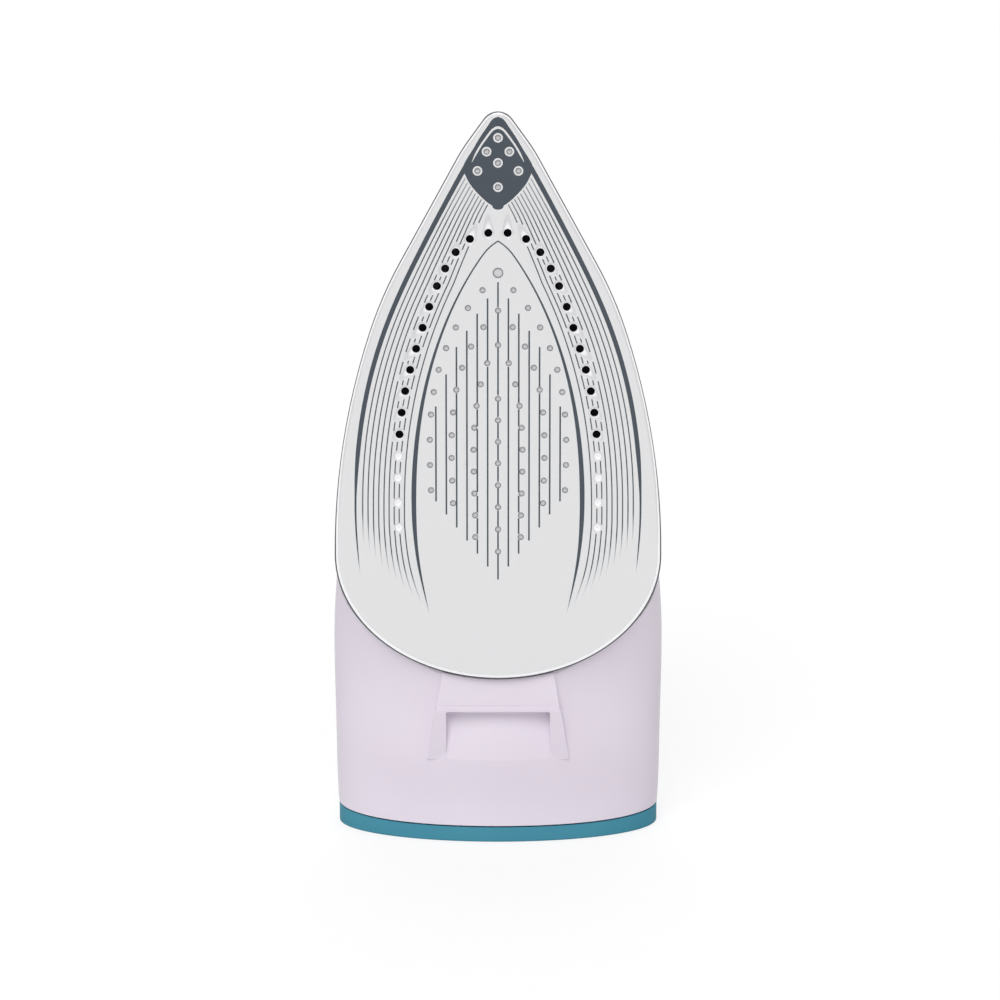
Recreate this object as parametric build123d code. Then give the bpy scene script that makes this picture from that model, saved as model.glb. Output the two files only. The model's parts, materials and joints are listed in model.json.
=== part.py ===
from build123d import *
import os
from math import cos, pi, radians, sin, sqrt, tan

# Steam iron standing on its heel, tip up. All sizes are in millimetres.
# X runs across the iron, Y from the sole towards the handle, Z up from the surface it stands on.
# A depth is a distance behind the gliding face of the sole, along +Y.

# Sole outline
SOLE_WIDTH = 120.0
SOLE_LENGTH = 210.5
SOLE_REAR = 47.0  # rear end up to the widest line
TIP_RADIUS = 6.3
TIP_ANGLE = 36.0  # each side of the centre line, close to the tip
TIP_HALF_WIDTH = 13.0  # where the tip's wider angle starts
INNER_TIP_R = 3.0  # least tip radius of the outlines inside the sole
NOSE_ANGLE = 28.7  # each side of the centre line
NOSE_HALF_WIDTH = 41.0  # where the straight nose meets the curved side
KINK_R = 150.0  # rounds the side into the nose
SHOULDER_R = 60.0  # rounds the nose into the tip
HEEL_RISE = 66.5  # floor to the rear end of the sole
SOLE_Y = -60.0  # the gliding face, seen from the middle of the heel
FACE_T = 3.0
FACE_EDGE_R = 1.8

# Steam holes and dimples in the gliding face
HOLE_R = 1.5
HOLE_COUNT = 12
HOLE_FIRST = 3.5  # along the arch from its peak
HOLE_RUNS = [(4, 7.1), (9, 8.1), (2, 9.3)]  # number of pitches and their length, from the first hole on
FLUTE_R = 2.3  # half a flute's width at its hole
FLUTE_DROP = 0.65
FLUTE_RUN_SHARE = 0.85  # the run is this much narrower and shallower than its start
FLUTES_UP = [(90.0, 7.5), (115.0, 6.5), (97.0, 3.5)]  # heading and length of the first three
FLUTE_HEADING = -42.0
FLUTE_LENGTH = 6.4
LONGEST_FLUTE = 7
FLUTE_LENGTH_STEP = 0.8
CUP_R = 1.8
CUP_TAIL = 1.6
DIMPLE_R = 1.05
DIMPLE_DROP = 0.7
DIMPLE_FLOOR_SHARE = 0.85  # radius at the bottom over the radius at the face
BIG_DIMPLE_R = 1.85
HOLE_ARCH = [  # right half, from the peak down
    (0, 233.1),
    (10.4, 230.8),
    (19.2, 220.0),
    (27.2, 199.0),
    (33.8, 175.0),
    (36.6, 142.5),
    (36.2, 120.0),
]
DIMPLE_ARCHES = [  # right halves, each with its runs of pitches
    ([(3.9, 185.4), (7.8, 169.8), (8.9, 147.0), (8.4, 118.0)], [(8, 8.17)]),
    ([(5.3, 198.7), (13.0, 183.9), (16.9, 158.9), (16.4, 131.0)], [(8, 8.47)]),
    ([(5.6, 212.3), (15.3, 198.6), (21.6, 182.9), (24.9, 156.3), (24.4, 136.0)], [(6, 8.43), (3, 9.4)]),
]
CENTRE_DIMPLES = [204.8, 192.1, 172.2, 164.2, 156.2, 148.2, 140.0, 131.8, 123.5, 115.1]
BIG_DIMPLE_Z = 218.6
NOSE_DIMPLES = [(0, 267.8), (0, 258.7), (0, 249.9)]
NOSE_SIDE_DIMPLES = [(4.1, 262.8), (7.4, 255.8)]

# Casting with its element and steam chamber
CASTING_T = 12.0
CASTING_INSET = 5.5
CASTING_TIP_GAP = 12.6  # casting ends this far short of the sole's tip
GALLERY_INSET = 16.5
GALLERY_T = 2.0
CHAMBER_INSET = 25.0
CHAMBER_FLOOR_T = 3.0
FEED_HOLE_R = 2.0
FEED_HOLES = [130.0, 150.0, 170.0, 190.0]
ELEMENT_R = 3.0
ELEMENT_INSET = 10.5
ELEMENT_DROP = 6.0  # element axis behind the front of the casting
ELEMENT_TURN_R = 14.0
PIN_R = 2.2
PIN_LENGTH = 22.0
PIN_Z = 96.0
COVER_INSET = 22.0
GASKET_T = 0.8
GASKET_WIDTH = 2.4
COVER_T = 1.5
POST_INSET = 17.8
POST_R = 3.6
POST_Z = [122.0, 196.0]
THERMOSTAT_WIDTH = 24.0
THERMOSTAT_LENGTH = 17.0
THERMOSTAT_T = 14.0
THERMOSTAT_CORNER_R = 2.0
THERMOSTAT_STACK_R = 7.5
FUSE_R = 2.6
FUSE_LENGTH = 20.0
FUSE_LEAD_R = 0.65
FUSE_LEAD_LENGTH = 2.6
FUSE_Z = 126.0

# Outer shell: skirt, tank and rear housing share one surface
WALL = 2.2
SKIRT_GAP = 0.6  # between the sole plate and the skirt
SKIRT_INSET = 1.2  # the skirt stays inside the sole's outline
HULL_FLARE = 1.5  # the shell's widest line outside the sole's
HEEL_FLARE = 0.5
HULL_HALF_WIDTH = SOLE_WIDTH / 2 + HULL_FLARE
HEEL_HALF_WIDTH = SOLE_WIDTH / 2 + HEEL_FLARE
HEEL_T = 6.3
HEEL_REAR_T = 9.0
HEEL_SEAM_RUN = 50.0  # the heel's seam rises over this depth from its front
HEEL_FRONT = 14.0  # depth of the heel's front edge
BELLY = 31.0  # front of the heel's ellipse to its middle
HULL_TOP = 90.0
TOP_RATIO = 0.74  # width at the top of the shell over its width below
FLANK_RATIO = 0.925
DECK = 72.0
NOSE_TOP_Z = 226.0  # where the deck turns down into the nose
NOSE_LOW = 22.0
NOSE_LOW_Z = 267.0
TIP_BACKSET = 4.5
TIP_EDGE_R = 3.0
DECK_EDGE_R = 8.0
SPLIT_REAR = 53.0  # depth of the skirt's upper edge at the heel
SPLIT_ANGLE = 5.9
LOW_STATIONS = (0.5, 0.85)  # level sections of the shell, as shares of each stretch of its height
REAR_STATIONS = (0.15, 0.5, 1.0)
SIDE_STATIONS = (0.35, 0.7, 1.0)
NOSE_STATIONS = (0.4, 0.75, 1.0)
SEAM = 0.3
HEEL_SEAM = 0.6  # shadow gap between the shell and the heel
TANK_Z = 70.0
TANK_SEAM_RISE = 13.0

# Hood and pocket on the back of the skirt
HOOD_TOP_Z = 71.0
HOOD_BAR_Z = 55.2
HOOD_BAR_T = 1.95
HOOD_END_Z = 33.0
HOOD_HALF_TOP = 20.2
HOOD_HALF_BAR = 23.1
HOOD_HALF_END = 26.5
HOOD_CORNER_R = 2.4
HOOD_EDGE = 0.4  # small bevel along the bar and the legs
HOOD_FRONT_TOP = 2.6
HOOD_FRONT_BAR = 3.6
HOOD_BAR_LEAN = 0.3  # the bar's lower edge stands this much further back
HOOD_SAG = 0.8  # the hood's face dips this much just above the bar
HOOD_END = 11.6  # depth where the legs run into the skirt
POCKET_HALF = 19.3
POCKET_EDGE_R = 1.0
POCKET_TILT = 8.0  # the pocket's floor leans in by this angle
POCKET_BACK = 14.0

# Heat shield under the tank
SHIELD_T = 2.5
SHIELD_DROP = 2.5  # below the skirt's upper edge
SHIELD_FIT = 0.3
SCREW_R = 1.7
SCREW_HEAD_R = 3.2
SCREW_HEAD_T = 2.0
SCREW_LENGTH = 12.0

# Handle loop
GRIP_HALF = 21.0
GRIP_EDGE_R = 9.0
GRIP_WALL = 2.5
LOOP_TOP = DECK + 76.0
LOOP_TOP_Z = 95.0
LOOP_FRONT = DECK + 57.0
LOOP_FRONT_Z = 200.0
LOOP_FOOT_Z = 222.0
LOOP_REAR_TOP = DECK + 75.0
LOOP_REAR_Z = 30.0
LOOP_HEEL_TOP = DECK + 46.0
LOOP_REAR_R = 14.0
LOOP_CROWN_R = 250.0
LOOP_FRONT_R = 16.0
GAP_FLOOR = DECK + 6.0  # the finger gap
GAP_CORNERS = [  # height, depth and radius of each corner
    (44.0, GAP_FLOOR, 8.0),
    (40.0, GAP_FLOOR + 22.0, 14.0),
    (54.0, GAP_FLOOR + 38.0, 20.0),
    (100.0, GAP_FLOOR + 41.0, 120.0),
    (138.0, GAP_FLOOR + 33.5, 22.0),
    (150.0, GAP_FLOOR + 16.0, 12.0),
    (145.0, GAP_FLOOR, 8.0),
]
COVER_DROP = 13.0  # handle cover's lower edge under the crown
COVER_REAR_Z = 34.0
INSERT_T = 1.5
INSERT_PROUD = 0.5
INSERT_HALF = 11.0
INSERT_LOW_Z = 62.0
INSERT_HIGH_Z = 132.0

# Controls
DIAL_Z = 95.0
DIAL_R = 23.0
DIAL_T = 8.0
DIAL_RIB_R = 1.3
DIAL_RIBS = 36
SHAFT_R = 3.0
RUN_FIT = 0.08
MOVE_GAP = 0.4
TUBE_WALL = 2.0
KNOB_Z = 182.0
KNOB_R = 9.0
KNOB_TOP = DECK + 69.0
KNOB_LOW = DECK + 49.0
KNOB_BORE_TOP = DECK + 60.0
KNOB_RIBS = 18
KNOB_RIB_R = 0.9
STEM_R = 2.0
STEM_TOP = DECK + 54.0
BUTTON_X = 9.5
BUTTON_Z = 160.0
BUTTON_WIDTH = 15.0
BUTTON_LENGTH = 18.0
BUTTON_CORNER_R = 5.0
BUTTON_PROUD = 4.5
BUTTON_LOW = DECK + 49.0
BUTTON_EDGE_R = 1.5
BUTTON_TRAVEL = 4.0
PLUNGER_R = 2.4
PISTON_R = 4.4
PISTON_T = 4.0
PUMP_R = 6.2
PUMP_LOW = DECK + 8.0
PUMP_TOP = DECK + 34.0
PUMP_BORE_LOW = DECK + 20.0
PISTON_REST = 2.0  # left under the piston when its button is pressed
DIP_TUBE_R = 2.0
DIP_TUBE_BORE_R = 1.1
DIP_TUBE_LOW = 50.0
SPRING_R = 4.2
SPRING_WIRE_R = 0.5
SPRING_TURNS = 4
HOSE_R = 2.0
HOSE_BORE_R = 1.2
HOSE_BEND_R = 3.0
HOSE_RUN = 10.0  # straight run at each end of the spray hose
BOOST_X = 13.0
BOOST_Z = 182.0
NOZZLE_R = 5.0
NOZZLE_LENGTH = 9.0
NOZZLE_PROUD = 3.0
NOZZLE_ORIFICE_R = 0.8
NOZZLE_DEPTH = DECK + 26.0
LENS_Z = 58.0
LENS_R = 3.6
LENS_T = 4.0
LAMP_R = 2.4
LAMP_LENGTH = 7.0

# Filler door on the nose
DOOR_WIDTH = 20.0
DOOR_LENGTH = 25.0
DOOR_T = 2.4
DOOR_CORNER_R = 3.0
DOOR_OFFSET = 1.0  # along the nose, from the middle of its slope
DOOR_FRAME = 2.4
DOOR_FRAME_T = 6.0
MOUTH_WIDTH = 14.0
MOUTH_LENGTH = 15.0
MOUTH_CORNER_R = 2.0
BARREL_R = 1.9
BARREL_LENGTH = 14.0
HINGE_PIN_R = 1.0
HINGE_RUN = 0.06

# Heel, wiring and cord inlet
HEEL_FLOOR_T = 2.5
HEEL_RIM = 3.0
HEEL_EDGE_R = 0.8
FAIRING_R = 16.0
HEEL_PILLARS = [(SOLE_WIDTH / 2 - 8.0, 61.0), (SOLE_WIDTH / 2 - 24.0, 25.5), (14.0, 96.0)]
PILLAR_R = 5.0
PILLAR_LENGTH = 18.0
HEEL_SCREW_LENGTH = 14.0
HEEL_BORE_R = 4.0
HEEL_BORE_T = 1.2
BLOCK_HALF = 15.0
BLOCK_T = 10.0
BLOCK_LOW_Z = 11.0
BLOCK_LENGTH = 13.0
WIRE_WAY_HALF = 13.0
WIRE_WAY_LOW_Z = 26.0
WIRE_WAY_LENGTH = 10.0
TERMINAL_SPACING = 10.0
WIRE_R = 1.1
WIRE_BEND_R = 3.3
BALL_R = 10.5
BALL_SUNK = 5.0  # ball centre below the handle's rear bevel
COLLAR_R = 6.0
COLLAR_LENGTH = 7.0
COLLAR_SUNK = 1.0  # collar's foot inside the ball
CORD_BORE_R = 3.8
CORD_ROOM_R = 6.0  # hollow inside the ball, where the leads part
CORD_ROOM_TOP = 5.5  # its end, from the ball's centre outwards
SOCKET_R = 14.0
SOCKET_LENGTH = 8.0

# Sizes that follow from the ones above
WIDE_Z = HEEL_RISE + SOLE_REAR
TIP_Z = HEEL_RISE + SOLE_LENGTH
TIP_APEX_Z = TIP_Z + TIP_RADIUS * (1 / sin(radians(TIP_ANGLE)) - 1)
SHOULDER_Z = TIP_APEX_Z - TIP_HALF_WIDTH / tan(radians(TIP_ANGLE))
APEX_Z = SHOULDER_Z + TIP_HALF_WIDTH / tan(radians(NOSE_ANGLE))
KINK_Z = APEX_Z - NOSE_HALF_WIDTH / tan(radians(NOSE_ANGLE))
SKIRT_FRONT = FACE_T + SKIRT_GAP
CASTING_TOP = FACE_T + CASTING_T
GASKET_TOP = CASTING_TOP + GASKET_T
COVER_TOP = GASKET_TOP + COVER_T
THERMOSTAT_TOP = COVER_TOP + THERMOSTAT_T
PISTON_LOW = PUMP_BORE_LOW + PISTON_REST + BUTTON_TRAVEL
REACH = 400.0  # larger than the iron, for cutting


def behind_sole(depth):
    """Plane parallel to the sole at this depth, drawn with X across and Z up."""
    return Plane(origin=(0, SOLE_Y + depth, 0), x_dir=(1, 0, 0), z_dir=(0, -1, 0))


def plate(outline, depth, thickness):
    """Flat outline made into a plate that starts at this depth."""
    return extrude(behind_sole(depth) * outline, amount=-thickness)


def rod(x, z, low, high, radius):
    """Round bar square to the sole, between two depths."""
    return plate(Pos(x, z) * Circle(radius), low, high - low)


def across(radius, length):
    """Round bar along X, centred."""
    return Rot(0, 90, 0) * Cylinder(radius, length)


def side_prism(points, half_width):
    """Side view polygon of (z, depth) points, extruded across the iron."""
    corners = [(SOLE_Y + depth, z) for z, depth in points]
    return extrude(Plane.YZ * make_face(Polyline(*corners, close=True)), amount=half_width, both=True)


def between(low_z, high_z, low_depth=-REACH, high_depth=REACH):
    """Block across the whole iron between two heights and two depths."""
    points = [(low_z, low_depth), (high_z, low_depth), (high_z, high_depth), (low_z, high_depth)]
    return side_prism(points, REACH)


def mirrored(piece):
    """Piece with its mirror image on the other side of the iron."""
    return [piece, mirror(piece, about=Plane.YZ)]


def sole_half_width(z):
    """Half the sole's width at a height: rear ellipse, side arc, straight nose, tip and its rounding."""
    half = SOLE_WIDTH / 2
    if z < WIDE_Z:
        return half * sqrt(max(0.0, 1 - ((WIDE_Z - z) / SOLE_REAR) ** 2))
    if z < KINK_Z:
        gain = half - NOSE_HALF_WIDTH
        radius = ((KINK_Z - WIDE_Z) ** 2 + gain**2) / (2 * gain)
        return half - radius + sqrt(radius**2 - (z - WIDE_Z) ** 2)
    if z < SHOULDER_Z:
        return (APEX_Z - z) * tan(radians(NOSE_ANGLE))
    tip_centre = TIP_Z - TIP_RADIUS
    if z < tip_centre + TIP_RADIUS * sin(radians(TIP_ANGLE)):
        return (TIP_APEX_Z - z) * tan(radians(TIP_ANGLE))
    return sqrt(TIP_RADIUS**2 - (z - tip_centre) ** 2)


def sole_outline(inset=0.0):
    """Outline of the sole in (x, z), drawn in by a margin."""
    half = SOLE_WIDTH / 2 - inset
    apex_z = APEX_Z - inset / sin(radians(NOSE_ANGLE))
    kink_x = NOSE_HALF_WIDTH - inset * cos(radians(NOSE_ANGLE))
    kink_z = apex_z - kink_x / tan(radians(NOSE_ANGLE))
    rear = EllipticalCenterArc((0, WIDE_Z), half, SOLE_REAR - inset, 180, arc_size=180)
    right_side = TangentArc((half, WIDE_Z), (kink_x, kink_z), tangent=(0, 1))
    left_side = TangentArc((-half, WIDE_Z), (-kink_x, kink_z), tangent=(0, 1))
    tip_z = TIP_APEX_Z - inset / sin(radians(TIP_ANGLE))
    spread = tan(radians(TIP_ANGLE)) - tan(radians(NOSE_ANGLE))
    shoulder_z = (tip_z * tan(radians(TIP_ANGLE)) - apex_z * tan(radians(NOSE_ANGLE))) / spread
    shoulder_x = (apex_z - shoulder_z) * tan(radians(NOSE_ANGLE))
    tip = [(0, apex_z)]
    if shoulder_x > INNER_TIP_R:
        tip = [(shoulder_x, shoulder_z), (0, tip_z), (-shoulder_x, shoulder_z)]
    nose = Polyline((kink_x, kink_z), *tip, (-kink_x, kink_z))
    outline = make_face(rear + right_side + nose + left_side)
    rounding = [(kink_x, kink_z, KINK_R), (-kink_x, kink_z, KINK_R)]
    if len(tip) > 1:
        rounding += [(shoulder_x, shoulder_z, SHOULDER_R), (-shoulder_x, shoulder_z, SHOULDER_R)]
    rounding.append((*tip[len(tip) // 2], max(TIP_RADIUS - inset, INNER_TIP_R)))
    for x, z, radius in rounding:
        outline = fillet(outline.vertices().sort_by_distance((x, z))[0], radius)
    return outline


def spaced(points, first, runs):
    """Places along a smooth curve: one at a first distance, then runs of equal pitches."""
    curve = Spline(*points)
    steps = [first]
    for count, pitch in runs:
        steps += [steps[-1] + (n + 1) * pitch for n in range(count)]
    return [curve.position_at(step / curve.length) for step in steps]


def steam_hole_places():
    """Right-hand places on the arch of steam holes, the open ones first, then the blind cups."""
    return spaced(HOLE_ARCH, HOLE_FIRST, HOLE_RUNS)


def dimple_places():
    """Centres of the small dimples in the face, in (x, z)."""
    places = [(0, z) for z in CENTRE_DIMPLES] + NOSE_DIMPLES
    for x, z in NOSE_SIDE_DIMPLES:
        places += [(x, z), (-x, z)]
    for points, runs in DIMPLE_ARCHES:
        for spot in spaced(points, 0, runs):
            places += [(spot.X, spot.Y), (-spot.X, spot.Y)]
    return places


def dimple(x, z, radius):
    """Round dimple with a sloping wall and a flat bottom."""
    cone = Cone(radius * DIMPLE_FLOOR_SHARE, radius, DIMPLE_DROP)
    return Pos(x, SOLE_Y + DIMPLE_DROP / 2, z) * Rot(90, 0, 0) * cone


def pressed_ball(x, z, radius, drop):
    """Shallow round hollow as the ball that presses it."""
    ball_r = (radius**2 + drop**2) / (2 * drop)
    return Pos(x, SOLE_Y + drop - ball_r, z) * Sphere(ball_r)


def flute(x, z, radius, heading, length):
    """Shallow groove that starts deep under a hole and rises out along a heading."""
    drop = FLUTE_DROP * FLUTE_RUN_SHARE
    run_r = (radius**2 + drop**2) / (2 * drop) * FLUTE_RUN_SHARE
    deep = Vector(x, SOLE_Y + drop - run_r, z)
    out = Vector(cos(radians(heading)) * length, -drop, sin(radians(heading)) * length)
    run = extrude(Plane(origin=deep, z_dir=out) * Circle(run_r), amount=out.length)
    return [pressed_ball(x, z, radius, FLUTE_DROP), run]


def steam_flute(n, x, z):
    """Groove of one steam hole: the first three run up to the nose, the others down and outwards."""
    if n < len(FLUTES_UP):
        heading, length = FLUTES_UP[n]
    else:
        heading = FLUTE_HEADING
        length = FLUTE_LENGTH - FLUTE_LENGTH_STEP * abs(n - LONGEST_FLUTE)
    return flute(x, z, FLUTE_R, heading, length)


def sole_face():
    body = plate(sole_outline(), 0, FACE_T)
    front = body.faces().sort_by(Axis.Y)[0]
    body = fillet(front.edges(), FACE_EDGE_R)
    body -= [dimple(x, z, DIMPLE_R) for x, z in dimple_places()]
    body -= dimple(0, BIG_DIMPLE_Z, BIG_DIMPLE_R)
    for n, spot in enumerate(steam_hole_places()):
        if n < HOLE_COUNT:
            grooves = steam_flute(n, spot.X, spot.Y)
            grooves.append(rod(spot.X, spot.Y, 0, FACE_T, HOLE_R))
        else:
            grooves = flute(spot.X, spot.Y, CUP_R, -90, CUP_TAIL)
        for groove in grooves:
            body -= mirrored(groove)
    return body


def element_path():
    """Middle line of the heating element: a hairpin round the nose, in (x, z)."""
    side = sole_half_width(WIDE_Z) - ELEMENT_INSET
    kink = NOSE_HALF_WIDTH - ELEMENT_INSET
    turn_z = APEX_Z - ELEMENT_INSET / sin(radians(NOSE_ANGLE))
    right = [(side, PIN_Z), (side, WIDE_Z + SOLE_REAR / 2), (kink, KINK_Z)]
    left = [(-x, z) for x, z in reversed(right)]
    return FilletPolyline(*right, (0, turn_z), *left, radius=ELEMENT_TURN_R)


def heating_element():
    axis_depth = FACE_T + ELEMENT_DROP
    path = behind_sole(axis_depth) * element_path()
    section = Plane(origin=path @ 0, z_dir=path % 0) * Circle(ELEMENT_R)
    hairpin = sweep(section, path)
    side = sole_half_width(WIDE_Z) - ELEMENT_INSET
    pins = [rod(x, PIN_Z, axis_depth, axis_depth + PIN_LENGTH, PIN_R) for x in (side, -side)]
    knees = [Pos(x, SOLE_Y + axis_depth, PIN_Z) * Sphere(ELEMENT_R) for x in (side, -side)]
    return hairpin + pins + knees


def post_places():
    """The four posts that carry the heat shield, in (x, z)."""
    right = [(sole_half_width(z) - POST_INSET, z) for z in POST_Z]
    return right + [(-x, z) for x, z in right]


def split_depth(z, rise=0.0):
    """Depth of the sloping seam between skirt and upper shell, at a height."""
    return SPLIT_REAR + rise - (z - HEEL_T) * tan(radians(SPLIT_ANGLE))


def under_split(rise):
    """Everything on the sole's side of the sloping seam, moved by a rise."""
    top = [(REACH, split_depth(REACH, rise)), (-REACH, split_depth(-REACH, rise))]
    return side_prism([(-REACH, -REACH), (REACH, -REACH), *top], REACH)


def split_plane(x, z, rise):
    """Plane lying on the sloping seam, moved by a rise, with its normal towards the handle."""
    tilt = radians(SPLIT_ANGLE)
    return Plane(
        origin=(x, SOLE_Y + split_depth(z, rise), z), x_dir=(-1, 0, 0), z_dir=(0, cos(tilt), sin(tilt))
    )


def shield_screw(x, z, radius_gain=0.0):
    """Pan-head screw from the heat shield into a post."""
    top = split_plane(x, z, -SHIELD_DROP)
    head = extrude(top * Circle(SCREW_HEAD_R + radius_gain), amount=SCREW_HEAD_T)
    shank = extrude(top * Circle(SCREW_R + radius_gain), amount=-SCREW_LENGTH)
    return head + shank


def sole_casting():
    body = plate(sole_outline(CASTING_INSET), FACE_T, CASTING_T)
    gallery = plate(sole_outline(GALLERY_INSET), FACE_T, GALLERY_T)
    floor_top = FACE_T + GALLERY_T + CHAMBER_FLOOR_T
    chamber = plate(sole_outline(CHAMBER_INSET), floor_top, CASTING_T)
    feeds = [rod(0, z, FACE_T, CASTING_TOP, FEED_HOLE_R) for z in FEED_HOLES]
    body = (body & between(-REACH, TIP_Z - CASTING_TIP_GAP)) - gallery - chamber - feeds
    shield_low = under_split(-SHIELD_DROP - SHIELD_T)
    for x, z in post_places():
        body += rod(x, z, CASTING_TOP - GALLERY_T, SPLIT_REAR, POST_R) & shield_low
        body -= shield_screw(x, z)
    return body - heating_element()


def chamber_gasket():
    ring = sole_outline(COVER_INSET) - sole_outline(COVER_INSET + GASKET_WIDTH)
    return plate(ring, CASTING_TOP, GASKET_T)


def chamber_cover():
    body = plate(sole_outline(COVER_INSET), GASKET_TOP, COVER_T)
    body -= rod(0, KNOB_Z, GASKET_TOP, COVER_TOP, STEM_R + MOVE_GAP)
    return body - rod(-BOOST_X, BOOST_Z, GASKET_TOP, COVER_TOP, HOSE_BORE_R)


def thermostat():
    outline = RectangleRounded(THERMOSTAT_WIDTH, THERMOSTAT_LENGTH, THERMOSTAT_CORNER_R)
    base = plate(Pos(0, DIAL_Z) * outline, COVER_TOP, COVER_T)
    return base + rod(0, DIAL_Z, COVER_TOP, THERMOSTAT_TOP, THERMOSTAT_STACK_R)


def thermal_fuse():
    place = Pos(0, SOLE_Y + COVER_TOP + FUSE_R, FUSE_Z)
    leads = across(FUSE_LEAD_R, FUSE_LENGTH + 2 * FUSE_LEAD_LENGTH)
    return place * (across(FUSE_R, FUSE_LENGTH) + leads)


def hull_half_width(z):
    """Half the shell's width at a height, at its widest."""
    widest = SOLE_WIDTH / 2 - SKIRT_INSET
    if z >= KINK_Z:
        tip_z = TIP_Z - TIP_BACKSET
        share = (z - KINK_Z) / (tip_z - KINK_Z)
        return NOSE_HALF_WIDTH + (sole_half_width(tip_z) - NOSE_HALF_WIDTH) * share - SKIRT_INSET
    if z >= WIDE_Z:
        return sole_half_width(z) - SKIRT_INSET
    if z >= HEEL_RISE:
        turn = (WIDE_Z - z) / SOLE_REAR * pi / 2
        return widest + (HULL_HALF_WIDTH - widest) * sin(turn)
    share = (HEEL_RISE - z) / (HEEL_RISE - HEEL_T)
    return HULL_HALF_WIDTH + (HEEL_HALF_WIDTH - HULL_HALF_WIDTH) * share**2


def hull_middle_depth(z):
    """Depth of the middle of the ellipse that rounds the shell's front, at a height."""
    if z >= WIDE_Z:
        return SKIRT_FRONT
    if z >= HEEL_RISE:
        return SKIRT_FRONT + BELLY * (WIDE_Z - z) / SOLE_REAR
    slope = (HEEL_FRONT - SKIRT_FRONT) / (HEEL_RISE - HEEL_T)
    return SKIRT_FRONT + BELLY + (HEEL_RISE - z) * slope


def hull_section(z, inset):
    """Level section of the shell: elliptical front, bowed flanks, flat top."""
    outer = hull_half_width(z)
    half = outer - inset
    top_half = outer * TOP_RATIO - inset
    flank_half = outer * FLANK_RATIO - inset
    front_y = SOLE_Y + hull_middle_depth(z)
    top_y = SOLE_Y + HULL_TOP
    flank_y = (front_y + top_y) / 2
    front = EllipticalCenterArc((0, front_y), half, BELLY - inset, 180, arc_size=180)
    right = ThreePointArc((half, front_y), (flank_half, flank_y), (top_half, top_y))
    top = Line((top_half, top_y), (-top_half, top_y))
    left = ThreePointArc((-top_half, top_y), (-flank_half, flank_y), (-half, front_y))
    return Plane.XY.offset(z) * make_face(front + right + top + left)


def hull(inset):
    """Whole shell as a solid, drawn in by a margin: heel to tip, under the deck and the nose."""
    low_z = HEEL_T - inset
    high_z = TIP_Z - TIP_BACKSET - 2 * inset
    stations = [low_z] + [HEEL_RISE * share for share in LOW_STATIONS]
    stations += [HEEL_RISE + SOLE_REAR * share for share in REAR_STATIONS]
    stations += [WIDE_Z + (KINK_Z - WIDE_Z) * share for share in SIDE_STATIONS]
    stations += [KINK_Z + (high_z - KINK_Z) * share for share in NOSE_STATIONS]
    body = loft([hull_section(z, inset) for z in stations])
    if not inset:
        tip_edges = body.faces().sort_by(Axis.Z)[-1].edges().sort_by(Axis.X)
        body = fillet([tip_edges[0], tip_edges[-1]], TIP_EDGE_R)
    side = [(-REACH, -REACH), (-REACH, DECK), (NOSE_TOP_Z, DECK)]
    side += [(NOSE_LOW_Z, NOSE_LOW), (TIP_Z + HEEL_T, -REACH)]
    corners = [(SOLE_Y + depth, z) for z, depth in side]
    view = offset(make_face(Polyline(*corners, close=True)), amount=-inset, kind=Kind.INTERSECTION)
    body &= extrude(Plane.YZ * view, amount=REACH, both=True)
    lowest_y = SOLE_Y + NOSE_LOW - 2 * inset - SEAM
    rim = [edge for edge in body.edges() if edge.center().Y > lowest_y and edge.center().Z > HEEL_T + SEAM]
    return fillet(rim, DECK_EDGE_R - inset)


OUTER_HULL = hull(0)
INNER_HULL = hull(WALL)


def hood_rim():
    """Bar and two legs that stand proud of the hood's face and frame the pocket."""
    low_bar_z = HOOD_BAR_Z - HOOD_BAR_T
    side = [(HOOD_BAR_Z, HOOD_FRONT_BAR), (low_bar_z, HOOD_FRONT_BAR + HOOD_BAR_LEAN)]
    side += [(HOOD_END_Z, HOOD_END), (HOOD_END_Z, POCKET_BACK), (HOOD_BAR_Z, POCKET_BACK)]
    right = [(HOOD_HALF_BAR, HOOD_BAR_Z), (HOOD_HALF_END, HOOD_END_Z)]
    left = [(-x, z) for x, z in reversed(right)]
    plan = make_face(Polyline(*right, *left, close=True))
    plan = fillet(plan.vertices().sort_by(Axis.Y)[-2:], HOOD_CORNER_R)
    rim = side_prism(side, HOOD_HALF_END) & plate(plan, 0, POCKET_BACK)
    front = rim.faces().sort_by(Axis.Y)[0]
    return chamfer(front.edges().sort_by(Axis.Z)[1:], HOOD_EDGE)


def hood_block():
    """Raised hood under the rear end of the sole, with its rim below it."""
    face_bar = HOOD_FRONT_BAR + HOOD_SAG
    side = [(HOOD_TOP_Z, HOOD_FRONT_TOP), (HOOD_BAR_Z, face_bar)]
    side += [(HOOD_BAR_Z - HOOD_CORNER_R, face_bar), (HOOD_BAR_Z - HOOD_CORNER_R, POCKET_BACK)]
    side += [(HOOD_TOP_Z, POCKET_BACK)]
    right = [(HOOD_HALF_TOP, HOOD_TOP_Z), (HOOD_HALF_BAR, HOOD_BAR_Z - HOOD_CORNER_R)]
    left = [(-x, z) for x, z in reversed(right)]
    plan = make_face(Polyline(*right, *left, close=True))
    body = side_prism(side, HOOD_HALF_END) & plate(plan, 0, POCKET_BACK)
    return body + hood_rim() - plate(sole_outline(-SKIRT_GAP), 0, SKIRT_FRONT)


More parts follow.
